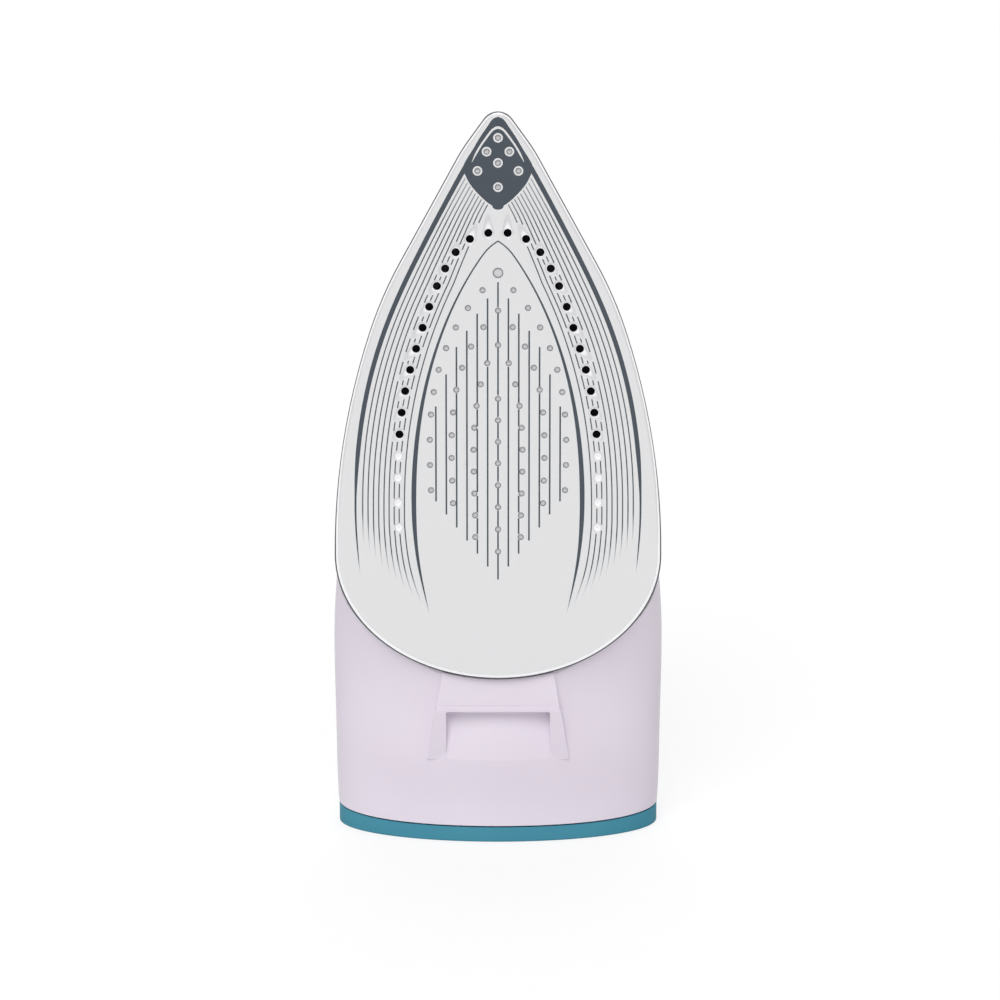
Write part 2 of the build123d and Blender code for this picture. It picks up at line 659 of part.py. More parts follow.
def hood_pocket():
    """Pocket under the hood's bar, deepest at the bar and running out flush below."""
    high_z = HOOD_BAR_Z - HOOD_BAR_T
    length = 2 * (high_z - HOOD_END_Z)
    outline = Pos(0, high_z - length / 2) * RectangleRounded(2 * POCKET_HALF, length, POCKET_EDGE_R)
    front_y = SOLE_Y + hull_middle_depth(HOOD_END_Z) - BELLY
    turn = Pos(0, front_y, HOOD_END_Z) * Rot(-POCKET_TILT, 0, 0) * Pos(0, -front_y, -HOOD_END_Z)
    return plate(outline, 0, POCKET_BACK) - turn * OUTER_HULL


def above_heel(drop=0.0):
    """Everything above the heel's seam, moved down by a drop; the seam rises in a soft S to the rear."""
    front = (SOLE_Y + HEEL_FRONT, HEEL_T - drop)
    rear = (SOLE_Y + HEEL_FRONT + HEEL_SEAM_RUN, HEEL_REAR_T - drop)
    seam = Spline(front, rear, tangents=[(1, 0), (1, 0)])
    far = [(REACH, rear[1]), (REACH, REACH), (-REACH, REACH), (-REACH, front[1])]
    view = make_face(seam + Polyline(rear, *far, front))
    return extrude(Plane.YZ * view, amount=REACH, both=True)


def heel_pillar(x, depth):
    """Screw pillar standing on the heel plate's seam."""
    pillar = Pos(x, SOLE_Y + depth, HEEL_T) * extrude(Circle(PILLAR_R), amount=PILLAR_LENGTH)
    return pillar & above_heel()


def heel_screw(x, depth):
    """Screw from under the heel plate up into a pillar."""
    head = extrude(Circle(SCREW_HEAD_R), amount=HEEL_FLOOR_T - HEEL_BORE_T)
    shank = extrude(Circle(SCREW_R), amount=HEEL_SCREW_LENGTH)
    return Pos(x, SOLE_Y + depth, HEEL_BORE_T) * (head + shank)


def pillar_places():
    """Both sides' pillars, in (x, depth)."""
    return HEEL_PILLARS + [(-x, depth) for x, depth in HEEL_PILLARS]


def with_pillars(shell, pillars, limit):
    """Shell with its screw pillars grown on the inside of its wall and drilled."""
    for x, depth in pillars:
        shell += heel_pillar(x, depth) & limit
        shell -= heel_screw(x, depth)
    return shell


def skirt():
    shell = OUTER_HULL - INNER_HULL
    zone = under_split(0) & between(-REACH, REACH, SKIRT_FRONT, REACH)
    body = shell & zone & above_heel()
    body += hood_block()
    body -= hood_pocket()
    body = with_pillars(body, [p for p in pillar_places() if p[1] < SPLIT_REAR - PILLAR_R], OUTER_HULL)
    return body


def heat_shield():
    inside = hull(WALL + SHIELD_FIT)
    layer = under_split(-SHIELD_DROP) - under_split(-SHIELD_DROP - SHIELD_T)
    body = inside & layer & between(TANK_Z, REACH)
    body -= rod(0, DIAL_Z, 0, DECK, SHAFT_R + MOVE_GAP)
    body -= rod(0, KNOB_Z, 0, DECK, STEM_R + TUBE_WALL + SEAM)
    body -= rod(-BOOST_X, BOOST_Z, 0, DECK, HOSE_R + SEAM)
    for x, z in post_places():
        body -= shield_screw(x, z)
    return body


def nose_plane(along_nose=0.0):
    """Plane on the nose's slope, at a place along it from the middle; its Y runs up to the deck."""
    run = NOSE_LOW_Z - NOSE_TOP_Z
    drop = DECK - NOSE_LOW
    length = sqrt(run**2 + drop**2)
    up = Vector(0, drop / length, -run / length)
    middle = Vector(0, SOLE_Y + (DECK + NOSE_LOW) / 2, (NOSE_TOP_Z + NOSE_LOW_Z) / 2)
    return Plane(origin=middle + up * along_nose, x_dir=(1, 0, 0), z_dir=(0, run / length, drop / length))


def door_plane():
    return nose_plane(DOOR_OFFSET)


def door_axis_place():
    """Middle of the filler door's hinge, on the door's plane."""
    return Pos(0, DOOR_LENGTH / 2 - BARREL_R, -BARREL_R)


def filler_door():
    leaf = RectangleRounded(DOOR_WIDTH, DOOR_LENGTH - BARREL_R, DOOR_CORNER_R)
    body = extrude(Pos(0, -BARREL_R / 2) * leaf, amount=-DOOR_T)
    body -= door_axis_place() * across(BARREL_R + SEAM, DOOR_WIDTH)
    root = Pos(0, DOOR_LENGTH / 2 - 2 * BARREL_R, -DOOR_T / 2) * Box(BARREL_LENGTH, 2 * BARREL_R, DOOR_T)
    body += root
    body += door_axis_place() * across(BARREL_R, BARREL_LENGTH)
    body -= door_axis_place() * across(HINGE_PIN_R + HINGE_RUN, DOOR_WIDTH)
    return door_plane() * body


def filler_pin():
    return door_plane() * door_axis_place() * across(HINGE_PIN_R, DOOR_WIDTH + DOOR_FRAME)


def door_seat():
    """Recess for the filler door with its hinge room and the mouth below it."""
    leaf = RectangleRounded(DOOR_WIDTH + 2 * SEAM, DOOR_LENGTH + 2 * SEAM, DOOR_CORNER_R)
    swing_r = sqrt(2) * BARREL_R + SEAM
    hinge_end = Pos(0, DOOR_LENGTH / 2 - BARREL_R) * Rectangle(DOOR_WIDTH + 2 * SEAM, 2 * swing_r)
    outline = leaf + hinge_end
    recess = extrude(outline, amount=-(DOOR_T + SEAM)) + extrude(outline, amount=BARREL_R)
    room = door_axis_place() * across(BARREL_R + MOVE_GAP, BARREL_LENGTH + 2 * SEAM)
    mouth_y = -(DOOR_LENGTH - MOUTH_LENGTH) / 2 + DOOR_FRAME
    mouth_outline = RectangleRounded(MOUTH_WIDTH, MOUTH_LENGTH, MOUTH_CORNER_R)
    mouth = extrude(Pos(0, mouth_y) * mouth_outline, amount=-2 * DOOR_FRAME_T)
    pin = door_axis_place() * across(HINGE_PIN_R, DOOR_WIDTH + DOOR_FRAME)
    return door_plane() * (recess + room + mouth + pin)


def door_frame():
    """Thicker rim of the tank round the filler door."""
    rim = Box(DOOR_WIDTH + 2 * DOOR_FRAME, DOOR_LENGTH + 2 * DOOR_FRAME, DOOR_FRAME_T)
    return door_plane() * Pos(0, 0, -DOOR_FRAME_T / 2) * rim


def whole_tank():
    """Closed water tank over the skirt, with its through tubes, before it is split."""
    outside = OUTER_HULL & between(TANK_Z, REACH) - under_split(SEAM)
    inside = INNER_HULL & between(TANK_Z + WALL, REACH) - under_split(SEAM + WALL)
    body = outside - inside + (door_frame() & outside) - (under_split(TANK_SEAM_RISE) & inside)
    tubes = [rod(0, DIAL_Z, 0, DECK, SHAFT_R + MOVE_GAP + TUBE_WALL)]
    tubes.append(rod(-BOOST_X, BOOST_Z, 0, DECK, HOSE_R + TUBE_WALL))
    body += [tube & outside for tube in tubes]
    body -= rod(0, DIAL_Z, 0, REACH, SHAFT_R + MOVE_GAP)
    body -= rod(-BOOST_X, BOOST_Z, 0, REACH, HOSE_R)
    body -= rod(0, KNOB_Z, 0, REACH, STEM_R + MOVE_GAP)
    for side in (1, -1):
        body -= rod(side * BUTTON_X, BUTTON_Z, DECK - 2 * WALL, REACH, DIP_TUBE_R + SEAM)
    return body - door_seat()


TANK = whole_tank()


def tank_base():
    return TANK & under_split(TANK_SEAM_RISE)


def tank_cover():
    return TANK - under_split(TANK_SEAM_RISE)


def valve_bush():
    """Rubber bush that leads the dosing stem from the tank into the steam chamber."""
    tank_low = under_split(SEAM)
    outer = rod(0, KNOB_Z, COVER_TOP, SPLIT_REAR, STEM_R + TUBE_WALL) & tank_low
    return outer - rod(0, KNOB_Z, 0, SPLIT_REAR, STEM_R + RUN_FIT)


def boost_tube():
    """Short tube from the tank's floor to the steam chamber."""
    outer = rod(-BOOST_X, BOOST_Z, COVER_TOP, SPLIT_REAR, HOSE_R) & under_split(SEAM)
    return outer - rod(-BOOST_X, BOOST_Z, 0, SPLIT_REAR, HOSE_BORE_R)


def loop_outer_view(grow):
    """Outline of the handle loop in the side view, (y, z)."""
    bevel_slope = (LOOP_REAR_TOP - LOOP_HEEL_TOP) / (LOOP_REAR_Z - HEEL_REAR_T)
    low_z = -HEEL_RISE / 2
    foot_slope = (LOOP_FOOT_Z - LOOP_FRONT_Z) / (LOOP_FRONT - DECK)
    low_depth = DECK - 3 * GRIP_EDGE_R
    points = [
        (low_z, low_depth),
        (low_z, LOOP_HEEL_TOP + (low_z - HEEL_REAR_T) * bevel_slope),
        (LOOP_REAR_Z, LOOP_REAR_TOP),
        (LOOP_TOP_Z, LOOP_TOP),
        (LOOP_FRONT_Z, LOOP_FRONT),
        (LOOP_FOOT_Z + (DECK - low_depth) * foot_slope, low_depth),
    ]
    corners = [(SOLE_Y + depth, z) for z, depth in points]
    view = make_face(Polyline(*corners, close=True))
    for corner, radius in zip(points[2:5], (LOOP_REAR_R, LOOP_CROWN_R, LOOP_FRONT_R)):
        nearest = view.vertices().sort_by_distance((SOLE_Y + corner[1], corner[0]))[0]
        view = fillet(nearest, radius)
    return offset(view, amount=grow, kind=Kind.INTERSECTION) if grow else view


def gap_view(grow):
    """Outline of the finger gap in the side view, (y, z)."""
    view = make_face(Polyline(*[(SOLE_Y + depth, z) for z, depth, radius in GAP_CORNERS], close=True))
    for z, depth, radius in GAP_CORNERS:
        view = fillet(view.vertices().sort_by_distance((SOLE_Y + depth, z))[0], radius)
    return offset(view, amount=grow) if grow else view


def rounded_loop(inset):
    """Handle loop as a solid with rounded edges, drawn in by a margin."""
    view = loop_outer_view(-inset) - gap_view(inset)
    body = extrude(Plane.YZ * view, amount=GRIP_HALF - inset, both=True)
    sides = body.faces().sort_by(Axis.X)
    edges = sides[0].edges() + sides[-1].edges()
    return fillet(edges, GRIP_EDGE_R - inset)


LOOP = rounded_loop(0) & between(HEEL_REAR_T, REACH, DECK, REACH)
GAP_LOW_Z = min(z for z, depth, radius in GAP_CORNERS)
GAP_HIGH_Z = max(z for z, depth, radius in GAP_CORNERS)
LOOP_ROOM = (
    rounded_loop(GRIP_WALL)
    & between(HEEL_REAR_T, REACH, DECK + GRIP_WALL, REACH)
) - between(GAP_LOW_Z - GRIP_WALL, GAP_HIGH_Z + GRIP_WALL, DECK, GAP_FLOOR + GRIP_WALL)


def crown_depth(z):
    """Depth of the handle's crown at a height, along its two straight runs."""
    if z < LOOP_TOP_Z:
        slope = (LOOP_TOP - LOOP_REAR_TOP) / (LOOP_TOP_Z - LOOP_REAR_Z)
    else:
        slope = (LOOP_FRONT - LOOP_TOP) / (LOOP_FRONT_Z - LOOP_TOP_Z)
    return LOOP_TOP + slope * (z - LOOP_TOP_Z)


def cover_zone(gap):
    """Region of the handle cover, with its seam closed in by a gap."""
    front_z = LOOP_FOOT_Z + HEEL_RISE
    low = COVER_DROP - gap
    points = [(COVER_REAR_Z + gap, crown_depth(COVER_REAR_Z) - low), (LOOP_TOP_Z, LOOP_TOP - low)]
    points += [(front_z, crown_depth(front_z) - low), (front_z, REACH), (COVER_REAR_Z + gap, REACH)]
    return side_prism(points, REACH)


def button_outline(clear):
    return RectangleRounded(BUTTON_WIDTH + 2 * clear, BUTTON_LENGTH + 2 * clear, BUTTON_CORNER_R)


def bevel_plane():
    """Plane on the handle's rear bevel, at its middle, with its normal out of the handle."""
    run = LOOP_REAR_Z - HEEL_REAR_T
    rise = LOOP_REAR_TOP - LOOP_HEEL_TOP
    length = sqrt(run**2 + rise**2)
    middle = (0, SOLE_Y + (LOOP_REAR_TOP + LOOP_HEEL_TOP) / 2, (LOOP_REAR_Z + HEEL_REAR_T) / 2)
    return Plane(origin=middle, x_dir=(1, 0, 0), z_dir=(0, run / length, -rise / length))


def ball_place():
    return bevel_plane() * Pos(0, 0, -BALL_SUNK)


def nozzle_plane():
    """Plane on the front of the handle where the spray nozzle sits, with its normal outwards."""
    run = LOOP_FOOT_Z - LOOP_FRONT_Z
    drop = LOOP_FRONT - DECK
    length = sqrt(run**2 + drop**2)
    middle = (0, SOLE_Y + NOZZLE_DEPTH, LOOP_FOOT_Z - (NOZZLE_DEPTH - DECK) * run / drop)
    return Plane(origin=middle, x_dir=(1, 0, 0), z_dir=(0, run / length, drop / length))


def insert_block(proud):
    """Soft pad along the top of the finger gap."""
    band = gap_view(INSERT_T - INSERT_PROUD)
    if proud:
        band -= gap_view(-proud)
    pad = extrude(Plane.YZ * band, amount=INSERT_HALF, both=True)
    return pad & between(INSERT_LOW_Z, INSERT_HIGH_Z, (GAP_FLOOR + LOOP_TOP) / 2 - GRIP_WALL, REACH)


def handle_base():
    body = LOOP - LOOP_ROOM - cover_zone(0)
    body = with_pillars(body, [p for p in pillar_places() if p[1] > DECK], LOOP)
    body -= insert_block(0)
    body -= rod(0, DIAL_Z, 0, GAP_FLOOR + GRIP_WALL, SHAFT_R + RUN_FIT)
    body -= rod(0, KNOB_Z, DECK, DECK + GRIP_WALL, STEM_R + MOVE_GAP)
    body -= rod(-BOOST_X, BOOST_Z, DECK, DECK + GRIP_WALL, HOSE_R)
    for side in (1, -1):
        body -= rod(side * BUTTON_X, BUTTON_Z, DECK, DECK + GRIP_WALL, DIP_TUBE_R + SEAM)
    body -= nozzle_plane() * Cylinder(NOZZLE_R, 2 * NOZZLE_LENGTH)
    body -= ball_place() * Sphere(BALL_R + MOVE_GAP)
    return body - wire_way()


def handle_cover():
    body = (LOOP - LOOP_ROOM) & cover_zone(SEAM)
    for side in (1, -1):
        outline = Pos(side * BUTTON_X, BUTTON_Z) * button_outline(MOVE_GAP)
        body -= plate(outline, BUTTON_LOW, LOOP_TOP)
    body -= rod(0, KNOB_Z, KNOB_LOW - KNOB_RIB_R, REACH, KNOB_R + KNOB_RIB_R + MOVE_GAP)
    return body - rod(0, LENS_Z, LOOP_FRONT, REACH, LENS_R)


def grip_insert():
    return insert_block(INSERT_PROUD)


def indicator_lens():
    top = crown_depth(LENS_Z) + INSERT_PROUD
    body = rod(0, LENS_Z, top - LENS_T, top, LENS_R)
    return fillet(body.faces().sort_by(Axis.Y)[-1].edges(), INSERT_PROUD)


def indicator_lamp():
    top = crown_depth(LENS_Z) + INSERT_PROUD - LENS_T
    return rod(0, LENS_Z, top - LAMP_LENGTH, top, LAMP_R)


def wire_way():
    """Opening for the wires from the handle down into the rear housing."""
    outline = Pos(0, WIRE_WAY_LOW_Z + WIRE_WAY_LENGTH / 2) * Rectangle(2 * WIRE_WAY_HALF, WIRE_WAY_LENGTH)
    return plate(outline, DECK - 2 * WALL, GRIP_WALL + 2 * WALL)


def fairing_web():
    """Concave corner between the deck and the handle's rear post, in (x, y), on the right side."""
    low_y = SOLE_Y + DECK - WALL / 2
    corner_y = SOLE_Y + DECK
    foot = [(GRIP_HALF + FAIRING_R, corner_y), (GRIP_HALF + FAIRING_R, low_y), (GRIP_HALF, low_y)]
    hollow = RadiusArc((GRIP_HALF, corner_y + FAIRING_R), foot[0], -FAIRING_R)
    return make_face(Polyline(*foot, (GRIP_HALF, corner_y + FAIRING_R)) + hollow)


def fairing():
    """Concave web between the deck and the handle's rear post, on the right side."""
    body = extrude(Plane.XY.offset(HEEL_REAR_T) * fairing_web(), amount=GAP_LOW_Z - HEEL_REAR_T)
    low = DECK - WALL
    slope = [(GAP_LOW_Z, low), (GAP_LOW_Z, DECK)]
    slope += [(HEEL_REAR_T, DECK + 2 * FAIRING_R), (HEEL_REAR_T, low)]
    return body & side_prism(slope, REACH)


def rear_housing():
    body = (OUTER_HULL - INNER_HULL) & between(HEEL_T, TANK_Z - SEAM) - under_split(SEAM)
    body &= above_heel()
    mine = [p for p in pillar_places() if SPLIT_REAR < p[1] < DECK]
    body = with_pillars(body, mine, OUTER_HULL - under_split(SEAM))
    body += mirrored(fairing())
    return body - wire_way()


def heel_outline(inset):
    """Footprint of the heel: elliptical front, bowed flanks, and the handle's rear post."""
    top_y = SOLE_Y + DECK - inset
    shell = Pos(0, 0, -HEEL_T) * hull_section(HEEL_T, inset)
    shell &= Pos(0, top_y - REACH) * Rectangle(2 * REACH, 2 * REACH)
    shell = fillet(shell.vertices().sort_by(Axis.Y)[-2:], DECK_EDGE_R - inset)
    post_length = LOOP_HEEL_TOP - DECK
    corner_r = GRIP_EDGE_R - inset
    post = Pos(0, top_y) * RectangleRounded(2 * (GRIP_HALF - inset), 2 * post_length, corner_r)
    return shell + post


def heel_cover():
    outline = heel_outline(0) + mirrored(fairing_web())
    body = extrude(outline, amount=HEEL_REAR_T)
    body = fillet(body.faces().sort_by(Axis.Z)[0].edges(), HEEL_EDGE_R)
    body -= extrude(Pos(0, 0, HEEL_FLOOR_T) * heel_outline(HEEL_RIM), amount=HEEL_REAR_T)
    inside = extrude(heel_outline(HEEL_RIM / 2), amount=HEEL_REAR_T)
    for x, depth in pillar_places():
        place = Pos(x, SOLE_Y + depth)
        body += extrude(place * Circle(PILLAR_R), amount=HEEL_REAR_T) & inside
        body -= extrude(place * Circle(HEEL_BORE_R), amount=HEEL_BORE_T)
        body -= heel_screw(x, depth)
    return body - above_heel(HEEL_SEAM)


def heel_screws():
    return Compound([heel_screw(x, depth) for x, depth in pillar_places()])


def shield_screws():
    return Compound([shield_screw(x, z) for x, z in post_places()])


def terminal_block():
    low = DECK + GRIP_WALL
    middle_z = BLOCK_LOW_Z + BLOCK_LENGTH / 2
    body = plate(Pos(0, middle_z) * Rectangle(2 * BLOCK_HALF, BLOCK_LENGTH), low, BLOCK_T)
    for x in (-TERMINAL_SPACING, 0, TERMINAL_SPACING):
        body -= rod(x, middle_z, low + BLOCK_T / 2, low + BLOCK_T, SCREW_HEAD_R)
    return body


def tube(points, radius, bend_r, bore=0.0):
    """Round tube along straight runs joined by arcs, through (x, z, depth) points."""
    route = FilletPolyline(*[(x, SOLE_Y + depth, z) for x, z, depth in points], radius=bend_r)
    start = Plane(origin=route @ 0, z_dir=route % 0)
    outline = Circle(radius) - Circle(bore) if bore else Circle(radius)
    return sweep(start * outline, route)


def wires():
    """Two leads to the element and one to the thermostat, from the terminal block."""
    side = sole_half_width(WIDE_Z) - ELEMENT_INSET
    pin_top = FACE_T + ELEMENT_DROP + PIN_LENGTH
    way_z = WIRE_WAY_LOW_Z + WIRE_WAY_LENGTH / 2
    block_end = BLOCK_LOW_Z + BLOCK_LENGTH
    leads = []
    for lane, end_x, end_z, end_depth in (
        (TERMINAL_SPACING, side, PIN_Z, pin_top + WIRE_R),
        (-TERMINAL_SPACING, -side, PIN_Z, pin_top + WIRE_R),
        (0, 0, DIAL_Z - THERMOSTAT_LENGTH / 2, COVER_TOP + THERMOSTAT_T / 2),
    ):
        start = (lane, block_end, DECK + GRIP_WALL + BLOCK_T / 2)
        points = [start, (lane, way_z, start[2]), (lane, way_z, SPLIT_REAR - BELLY / 3)]
        points += [(end_x, HEEL_RISE, end_depth), (end_x, end_z, end_depth)]
        leads.append(tube(points, WIRE_R, WIRE_BEND_R))
    return Compound(leads)


def gland_socket():
    """Ring inside the handle that holds the swivelling cord inlet."""
    place = bevel_plane() * Pos(0, 0, -GRIP_WALL - SOCKET_LENGTH / 2)
    ring = place * Cylinder(SOCKET_R, SOCKET_LENGTH)
    return (ring & LOOP_ROOM) - ball_place() * Sphere(BALL_R + MOVE_GAP)


def cord_gland():
    """Ball with a short collar and the bore that a cord would come through."""
    collar = Pos(0, 0, BALL_R - COLLAR_SUNK + COLLAR_LENGTH / 2) * Cylinder(COLLAR_R, COLLAR_LENGTH)
    bore = Cylinder(CORD_BORE_R, 4 * BALL_R)
    room = Pos(0, 0, CORD_ROOM_TOP - BALL_R) * Cylinder(CORD_ROOM_R, 2 * BALL_R)
    return ball_place() * (Sphere(BALL_R) + collar - bore - room)


def ribbed_disc(z, low, high, radius, ribs, rib_r):
    """Round control with a ring of finger ribs."""
    body = rod(0, z, low, high, radius)
    turn = 2 * pi / ribs
    bumps = [rod(radius * sin(n * turn), z + radius * cos(n * turn), low, high, rib_r) for n in range(ribs)]
    return body + bumps


def temperature_dial():
    low = GAP_FLOOR + MOVE_GAP
    body = ribbed_disc(DIAL_Z, low, low + DIAL_T, DIAL_R - DIAL_RIB_R, DIAL_RIBS, DIAL_RIB_R)
    return body - rod(0, DIAL_Z, low, low + DIAL_T / 2, SHAFT_R)


def thermostat_shaft():
    return rod(0, DIAL_Z, THERMOSTAT_TOP + SEAM, GAP_FLOOR + MOVE_GAP + DIAL_T / 2, SHAFT_R)


def steam_knob():
    body = ribbed_disc(KNOB_Z, KNOB_LOW, KNOB_TOP, KNOB_R, KNOB_RIBS, KNOB_RIB_R)
    return body - rod(0, KNOB_Z, KNOB_LOW, KNOB_BORE_TOP, STEM_R + RUN_FIT)


def valve_stem():
    return rod(0, KNOB_Z, GASKET_TOP, STEM_TOP, STEM_R)


def button_cap(side):
    """Push button with its top parallel to the handle's crown."""
    outline = Pos(side * BUTTON_X, BUTTON_Z) * button_outline(0)
    body = plate(outline, BUTTON_LOW, LOOP_TOP)
    low_z, high_z = BUTTON_Z - BUTTON_LENGTH, BUTTON_Z + BUTTON_LENGTH
    top = [(low_z, crown_depth(low_z) + BUTTON_PROUD), (high_z, crown_depth(high_z) + BUTTON_PROUD)]
    body &= side_prism([(low_z, 0), *top, (high_z, 0)], REACH)
    return fillet(body.faces().sort_by(Axis.Y)[-1].edges(), BUTTON_EDGE_R)


def plunger(side):
    """Rod and piston that a button pushes into its pump."""
    rod_part = rod(side * BUTTON_X, BUTTON_Z, PISTON_LOW, BUTTON_LOW, PLUNGER_R)
    return rod_part + rod(side * BUTTON_X, BUTTON_Z, PISTON_LOW, PISTON_LOW + PISTON_T, PISTON_R)


def pump(side):
    """Pump barrel with its dip tube into the tank."""
    x = side * BUTTON_X
    body = rod(x, BUTTON_Z, PUMP_LOW, PUMP_TOP, PUMP_R)
    body += rod(x, BUTTON_Z, DIP_TUBE_LOW, PUMP_LOW, DIP_TUBE_R)
    body -= rod(x, BUTTON_Z, PUMP_BORE_LOW, PUMP_TOP, PISTON_R + RUN_FIT)
    return body - rod(x, BUTTON_Z, DIP_TUBE_LOW, PUMP_BORE_LOW, DIP_TUBE_BORE_R)


def button_spring(side):
    """Coil spring round the plunger, between the pump and the button."""
    height = BUTTON_LOW - PUMP_TOP - 2 * SPRING_WIRE_R
    radius = SPRING_R - SPRING_WIRE_R
    coil = Helix(height / SPRING_TURNS, height, radius)
    wire = sweep(Plane(origin=coil @ 0, z_dir=coil % 0) * Circle(SPRING_WIRE_R), coil, is_frenet=True)
    foot = Plane(origin=(side * BUTTON_X, SOLE_Y + PUMP_TOP + SPRING_WIRE_R, BUTTON_Z), z_dir=(0, 1, 0))
    return foot * wire


def spray_nozzle():
    place = nozzle_plane()
    body = place * Pos(0, 0, NOZZLE_PROUD - NOZZLE_LENGTH / 2) * Cylinder(NOZZLE_R, NOZZLE_LENGTH)
    return body - place * Cylinder(NOZZLE_ORIFICE_R, 4 * NOZZLE_LENGTH)


def spray_hose():
    """Hose from the spray pump to the nozzle."""
    tail = nozzle_plane() * Pos(0, 0, NOZZLE_PROUD - NOZZLE_LENGTH)
    end = tail.position
    depth = end.Y - SOLE_Y
    out = nozzle_plane().z_dir
    before = end - out * HOSE_RUN
    start = (BUTTON_X, BUTTON_Z + PUMP_R, PUMP_LOW + HOSE_R * 2)
    points = [start, (BUTTON_X, start[1] + HOSE_RUN, start[2])]
    points += [(before.X, before.Z, before.Y - SOLE_Y), (0, end.Z, depth)]
    return tube(points, HOSE_R, HOSE_BEND_R, HOSE_BORE_R)


def steam_hose():
    """Hose from the steam pump to the tube through the tank."""
    start = (-BUTTON_X, BUTTON_Z + PUMP_R + SEAM, PUMP_LOW + HOSE_R * 2)
    points = [start, (-BOOST_X, BOOST_Z, start[2]), (-BOOST_X, BOOST_Z, DECK + GRIP_WALL)]
    return tube(points, HOSE_R, HOSE_BEND_R, HOSE_BORE_R)


NODES = {
    "sole_face": sole_face,
    "sole_casting": sole_casting,
    "heating_element": heating_element,
    "chamber_gasket": chamber_gasket,
    "chamber_cover": chamber_cover,
    "thermostat": thermostat,
    "thermal_fuse": thermal_fuse,
    "heat_shield": heat_shield,
    "shield_screws": shield_screws,
    "skirt": skirt,
    "tank_base": tank_base,
    "tank_cover": tank_cover,
    "valve_bush": valve_bush,
    "boost_tube": boost_tube,
    "filler_door": filler_door,
    "filler_pin": filler_pin,
    "rear_housing": rear_housing,
    "heel_cover": heel_cover,
    "heel_screws": heel_screws,
    "terminal_block": terminal_block,
    "wires": wires,
    "handle_base": handle_base,
    "handle_cover": handle_cover,
    "grip_insert": grip_insert,
    "indicator_lens": indicator_lens,
    "indicator_lamp": indicator_lamp,
    "temperature_dial": temperature_dial,
    "thermostat_shaft": thermostat_shaft,
    "steam_knob": steam_knob,
    "valve_stem": valve_stem,
    "steam_button": lambda: button_cap(-1),
    "spray_button": lambda: button_cap(1),
    "steam_plunger": lambda: plunger(-1),
    "spray_plunger": lambda: plunger(1),
    "steam_pump": lambda: pump(-1),
    "spray_pump": lambda: pump(1),
    "steam_spring": lambda: button_spring(-1),
    "spray_spring": lambda: button_spring(1),
    "spray_nozzle": spray_nozzle,
    "spray_hose": spray_hose,
    "steam_hose": steam_hose,
    "gland_socket": gland_socket,
    "cord_gland": cord_gland,
}

os.makedirs("parts", exist_ok=True)
for name, make in NODES.items():
    piece = make()
    export_step(piece, f"parts/{name}.step")
    print(name, round(piece.volume), len(piece.solids()))
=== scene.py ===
# %% [markdown]
# # A steam iron standing on its heel
# This lesson dresses a measured model of a steam iron. Every length below is in millimetres until
# it is put into a mesh, and then it is in metres. X runs across the iron, Y from the gliding face
# towards the handle, and Z up from the table to the tip. The solids come in as a fixed frame, so a
# new piece only needs the same numbers to land in the right place.

# %% Frame and box
import json

import bmesh
import bpy
import numpy as np
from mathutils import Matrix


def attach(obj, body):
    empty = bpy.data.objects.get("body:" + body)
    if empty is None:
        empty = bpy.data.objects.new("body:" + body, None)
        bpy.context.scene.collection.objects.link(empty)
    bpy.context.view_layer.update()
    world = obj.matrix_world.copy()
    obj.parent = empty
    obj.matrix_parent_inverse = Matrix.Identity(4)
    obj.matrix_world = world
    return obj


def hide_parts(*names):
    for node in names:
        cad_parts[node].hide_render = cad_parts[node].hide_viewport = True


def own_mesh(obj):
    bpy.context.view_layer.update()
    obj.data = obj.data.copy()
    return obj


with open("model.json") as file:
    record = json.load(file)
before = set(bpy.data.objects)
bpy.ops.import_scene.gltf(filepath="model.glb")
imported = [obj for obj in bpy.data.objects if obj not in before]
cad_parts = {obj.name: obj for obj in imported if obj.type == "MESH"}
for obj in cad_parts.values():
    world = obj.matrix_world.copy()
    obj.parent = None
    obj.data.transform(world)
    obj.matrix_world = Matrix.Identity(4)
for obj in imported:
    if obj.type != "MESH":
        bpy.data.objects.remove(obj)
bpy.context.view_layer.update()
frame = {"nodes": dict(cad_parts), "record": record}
MM = 0.001
print("solids:", len(frame["nodes"]))

# %% [markdown]
# ## Camera
# The photograph was taken with a long lens from a little above the iron. The lens is given as a
# focal length over a 36 mm wide sensor. The camera is placed by going back from a point on the
# gliding face along the viewing line, so the pitch and the distance stay readable.

# %% Camera
SOLE_Y = -60.0
AIM_Z = 134.5
CAMERA_DISTANCE = 1627.0
CAMERA_PITCH = np.radians(12.18)
CAMERA_SIDE = 0.73
SENSOR_WIDTH = 36.0
FOCAL_LENGTH = 160.0
FAR_LIMIT = 20000.0

camera_data = bpy.data.cameras.new("studio_camera")
camera_data.sensor_width = SENSOR_WIDTH
camera_data.lens = FOCAL_LENGTH
camera_data.clip_end = FAR_LIMIT * MM
camera = bpy.data.objects.new("studio_camera", camera_data)
camera.location = np.array([
    CAMERA_SIDE,
    SOLE_Y - CAMERA_DISTANCE * np.cos(CAMERA_PITCH),
    AIM_Z + CAMERA_DISTANCE * np.sin(CAMERA_PITCH),
]) * MM
camera.rotation_euler = (np.pi / 2 - CAMERA_PITCH, 0.0, 0.0)
bpy.context.scene.collection.objects.link(camera)
bpy.context.scene.camera = camera
print("camera at", [round(v, 3) for v in camera.location])

# %% [markdown]
# ## Helpers for nodes
# A material is a small graph of nodes. Three helpers keep the graphs short to read: one starts an
# empty material, one adds a node with its settings, and one joins two sockets. Screen colours are
# written as on a colour chart, from 0 to 255, and turned into the linear values that light needs.

